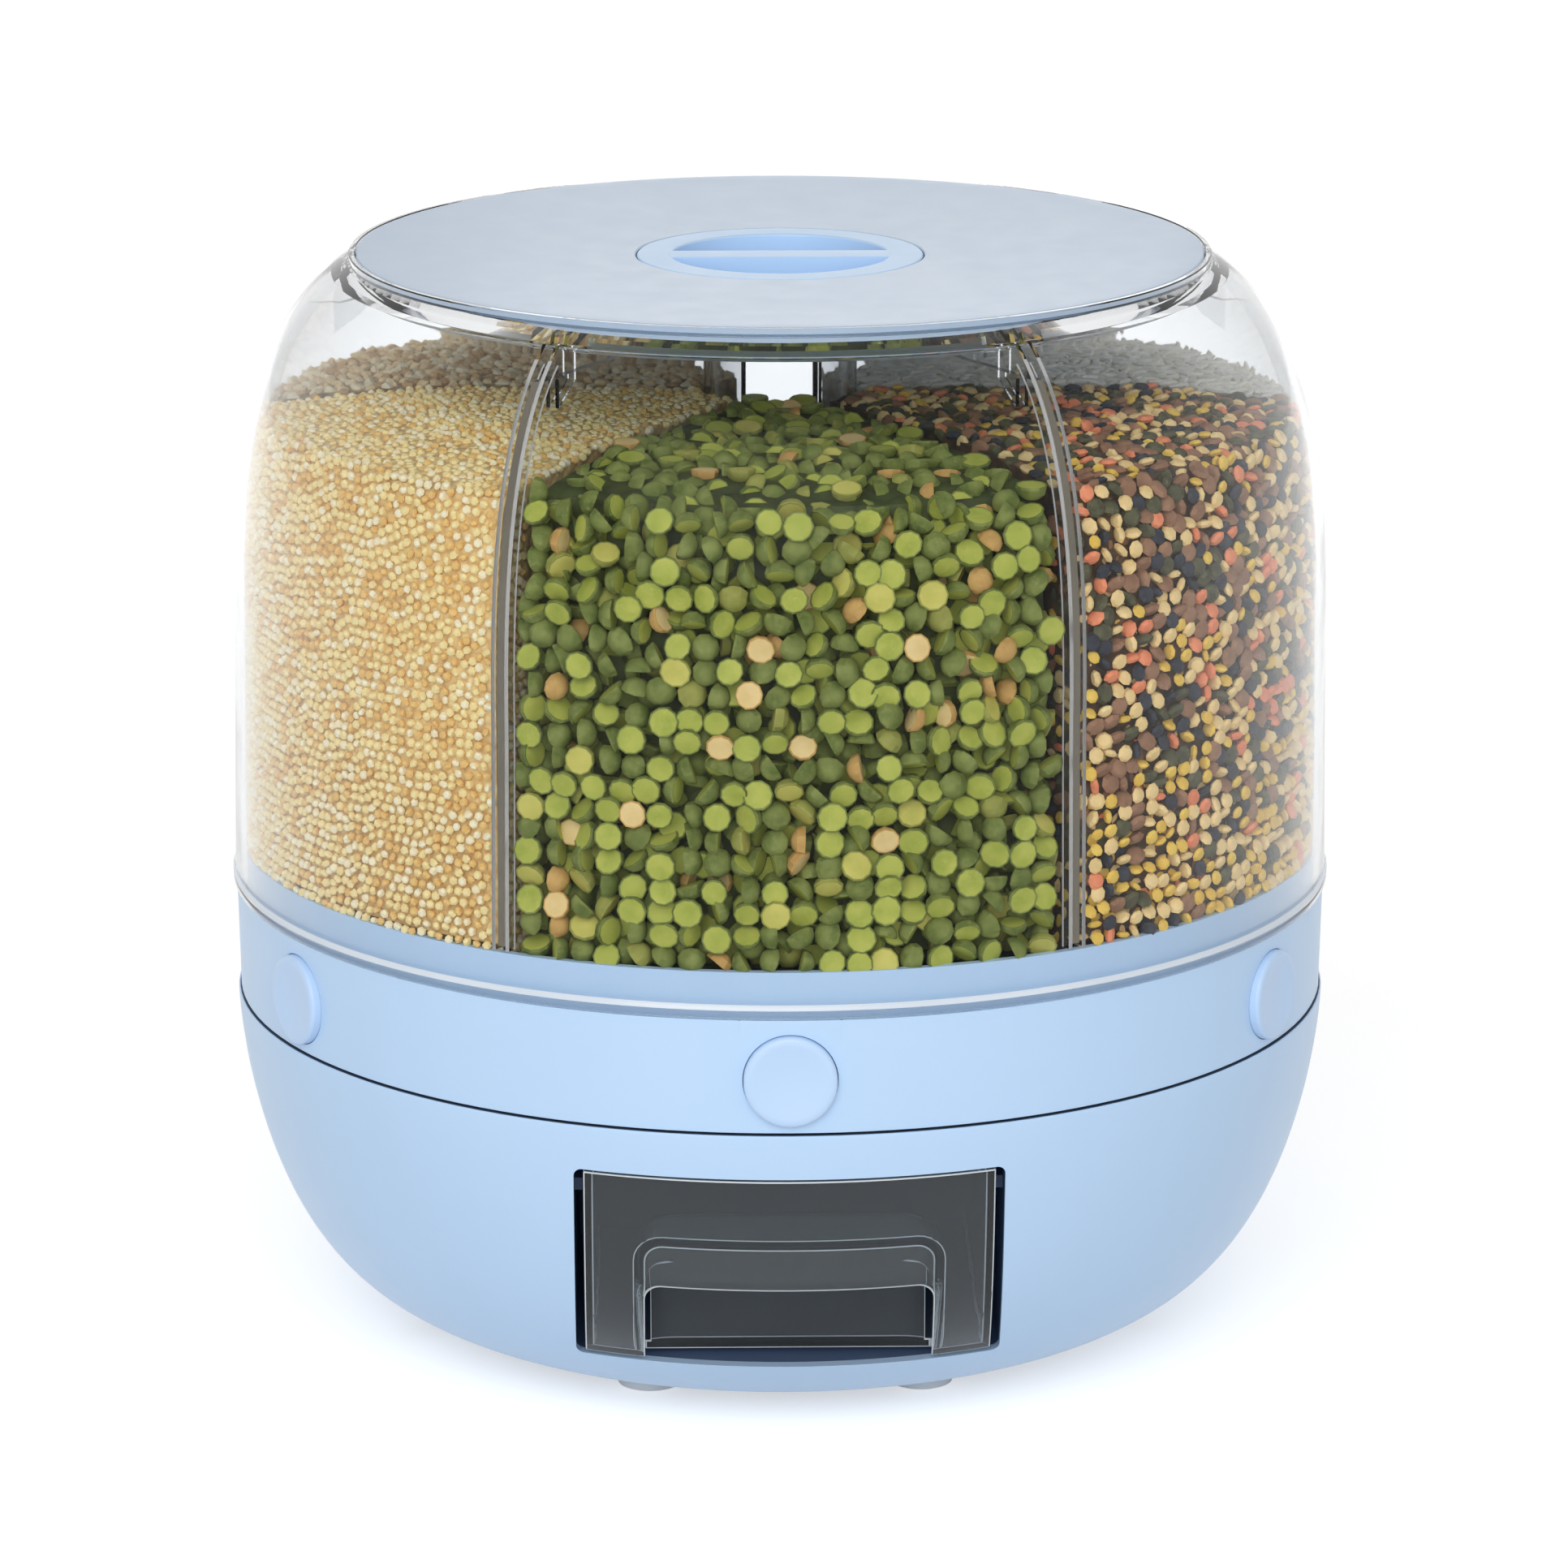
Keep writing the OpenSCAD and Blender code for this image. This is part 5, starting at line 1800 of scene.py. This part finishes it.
def lentils() -> Grain:
    """Mixed lentils: brown, salmon, green-black and blue-black lenses over small yellow ones.

    Returns:
        The kind of grain.
    """
    dust = (170, 150, 130)
    brown = Husk("lentil_brown", (166, 126, 98), (140, 102, 78), dust)
    salmon = Husk("lentil_salmon", (248, 156, 114), (234, 134, 94), (250, 196, 164))
    green = Husk("lentil_green", (100, 98, 72), (70, 70, 52), (150, 146, 116), 420)
    black = Husk("lentil_black", (66, 68, 76), (50, 52, 60), (116, 118, 124))
    yellow = Husk("lentil_yellow", (246, 208, 100), (232, 188, 80), (250, 228, 156))
    cream = Husk("lentil_cream", (250, 220, 158), (236, 202, 138), (252, 238, 204))
    return Grain("mixed_lentils", Slot.LENTILS, (5.3, 5.1, 2.5), (8, 4), 3.0, 3, 0.6,
                 (Coat(0.26, brown, sunk=0.35), Coat(0.12, salmon, scale=0.85, sunk=0.55),
                  Coat(0.2, green, sunk=0.5), Coat(0.12, black, scale=0.85, sunk=0.9),
                  Coat(0.1, yellow, scale=0.7, sunk=5), Coat(0.2, cream, scale=0.8, sunk=2)),
                 Heap("lentil_heap_painted_shade", (46, 38, 32), (120, 92, 66), 4.5), 0.6, 0.5, pieces=2)


def rice() -> Grain:
    """White rice, lying every way along the wall.

    Returns:
        The kind of grain.
    """
    white = Husk("rice_white", (244, 240, 228), (236, 230, 214), (255, 252, 244), 500, 0.4, 0.04)
    chalky = Husk("rice_chalky", (250, 248, 240), (240, 236, 224), (255, 255, 250), 500, 0.45, 0.04)
    return Grain("white_rice", Slot.RICE, (6.4, 2.0, 1.7), (6, 4), 2.2, 2, 0.7,
                 (Coat(0.7, white), Coat(0.3, chalky)),
                 Heap("rice_heap_painted_shade", (190, 184, 168), (244, 240, 228), 2.6), 0.85, 0.2, pieces=2)


def wheat() -> Grain:
    """Coarse cracked wheat in beige lumps.

    Returns:
        The kind of grain.
    """
    dust = (244, 228, 200)
    beige = Husk("wheat_beige", (250, 226, 182), (234, 204, 156), dust, 500)
    husky = Husk("wheat_brown", (222, 184, 136), (204, 164, 116), dust, 500)
    pale = Husk("wheat_pale", (255, 242, 210), (246, 228, 190), dust, 500)
    return Grain("cracked_wheat", Slot.WHEAT, (4.2, 3.2, 2.5), (6, 4), 2.9, 2, 0.7,
                 (Coat(0.55, beige), Coat(0.2, husky), Coat(0.25, pale)),
                 Heap("wheat_heap_painted_shade", (132, 104, 70), (220, 192, 148), 3.2), 0.4, 0.5, 0.14)


@dataclass
class Filling:
    """What each station holds; the rear one is empty."""

    stations: tuple[tuple[int, Callable[[], Grain], tuple[int, ...]], ...] = (
        (1, peas, ()), (2, lentils, ()), (3, rice, (1,)), (5, wheat, (-1,)), (6, quinoa, ()))

    def build(self) -> None:
        """Makes each station's fill."""
        for station, kind, sides in self.stations:
            Fill(kind(), Compartment((station - 1) * STATION_STEP), sides, seed=station).build()


# ----------------------------------------------------------------- studio


@dataclass
class Studio:
    """The camera, the lamps and the floor."""

    camera_at: tuple[float, float, float] = (-28.5, -1584.1, 554.6)
    camera_turn: tuple[float, float, float] = (75.06, 0.0, -1.03)
    lens: float = 150.84
    shift: float = 0.00258
    lamps: tuple[tuple[str, float, float, float, float, float], ...] = (
        ("key", -260, -1650, 1000, 1500, 18.5), ("fill", 1300, -1100, 700, 900, 1.2),
        ("back", 60, 1700, 460, 350, 0.34))
    aim_z: float = 130.0
    soft: float = 0.52
    floor_half: float = 6.0
    floor_tone: Colour = (235, 235, 235)
    glow: tuple[Colour, Colour] = ((188, 188, 188), (236, 236, 236))
    glow_reach: tuple[float, float] = (0.3, 1.2)

    def camera(self) -> None:
        """Places the camera where the photograph was taken from."""
        data = bpy.data.cameras.new("camera")
        data.lens, data.sensor_width, data.shift_x = self.lens, 36.0, self.shift
        data.clip_start, data.clip_end = 0.05, 50
        obj = placed("camera", data)
        obj.location = [value * MM for value in self.camera_at]
        obj.rotation_euler = [math.radians(value) for value in self.camera_turn]
        bpy.context.scene.camera = obj

    def lamp(self, name: str, x: float, y: float, z: float, size: float, power: float) -> None:
        """A square lamp that faces the object, in millimetres and watts.

        Args:
            name: what it is called.
            x: how far right it is.
            y: how far back it is.
            z: how high it is.
            size: its side.
            power: its power.
        """
        data = bpy.data.lights.new(name, "AREA")
        data.size, data.energy = size * MM, power
        obj = placed(name, data)
        obj.location = Vector((x, y, z)) * MM
        towards = Vector((0, 0, self.aim_z)) - Vector((x, y, z))
        obj.rotation_euler = towards.to_track_quat("-Z", "Y").to_euler()
        obj.visible_transmission = False

    @staticmethod
    def _seen(shader: Shader) -> Signal:
        """1 where the background is looked at, straight or in gloss or glass."""
        path = shader.node("ShaderNodeLightPath")
        return path.most(path.beside("Is Glossy Ray")).most(path.beside("Is Transmission Ray"))

    def world(self) -> None:
        """A white surround that gives the object only a soft light."""
        world = bpy.data.worlds.new("studio")
        shader = Shader(world, "ShaderNodeOutputWorld")
        white = shader.node("ShaderNodeBackground", None, {"Color": (1, 1, 1, 1), "Strength": 1.0})
        soft = shader.node("ShaderNodeBackground", None, {"Color": (1, 1, 1, 1), "Strength": self.soft})
        choice = {0: self._seen(shader), 1: soft, 2: white}
        shader.show(shader.node("ShaderNodeMixShader", None, choice))
        bpy.context.scene.world = world

    def floor(self) -> None:
        """A pale floor, white to the camera apart from the object's shadow."""
        bm = bmesh.new()
        bmesh.ops.create_grid(bm, x_segments=1, y_segments=1, size=self.floor_half)
        mesh = stored(bm, "floor")
        material = bpy.data.materials.new("floor")
        shader = Shader(material, "ShaderNodeOutputMaterial")
        place = shader.node("ShaderNodeTexCoord").beside("Object")
        away = shader.node("ShaderNodeMapRange", None, {
            "Value": shader.node("ShaderNodeVectorMath", {"operation": "LENGTH"}, {0: place}),
            "From Min": self.glow_reach[0], "From Max": self.glow_reach[1]})
        glow = shader.node("ShaderNodeMix", {"data_type": "RGBA"}, {
            "Factor": self._seen(shader), 6: linear((0, 0, 0)),
            7: shader.between(away, *self.glow)})
        shader.show(shader.node("ShaderNodeBsdfPrincipled", None, {
            "Base Color": linear(self.floor_tone), "Roughness": 0.9, "Specular IOR Level": 0.0,
            "Emission Color": glow, "Emission Strength": 1.0}))
        mesh.materials.append(material)
        placed("floor", mesh)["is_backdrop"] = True

    def build(self) -> None:
        """Sets up the view."""
        self.camera()
        for lamp in self.lamps:
            self.lamp(*lamp)
        self.world()
        self.floor()
        bpy.context.scene.view_settings.view_transform = "Standard"


# ------------------------------------------------------------------- main


def corners(box: tuple[Vector, Vector]) -> list[list[float]]:
    """A box as plain lists of numbers."""
    return [[float(value) for value in corner] for corner in box]


def main() -> None:
    """Builds the dispenser on its frame and works out how large it is, before and after."""
    logging.basicConfig(level=logging.INFO, format="%(name)s %(message)s")
    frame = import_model()
    cad = corners(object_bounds())
    Studio().build()
    Base().build(frame["nodes"])
    Drawer().build()
    ButtonRing().build()
    ClearShell().build(frame["nodes"])
    Vanes().build()
    Lid().build()
    Filling().build()
    {"cad": cad, "visual": corners(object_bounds())}


if __name__ == "__main__":
    main()
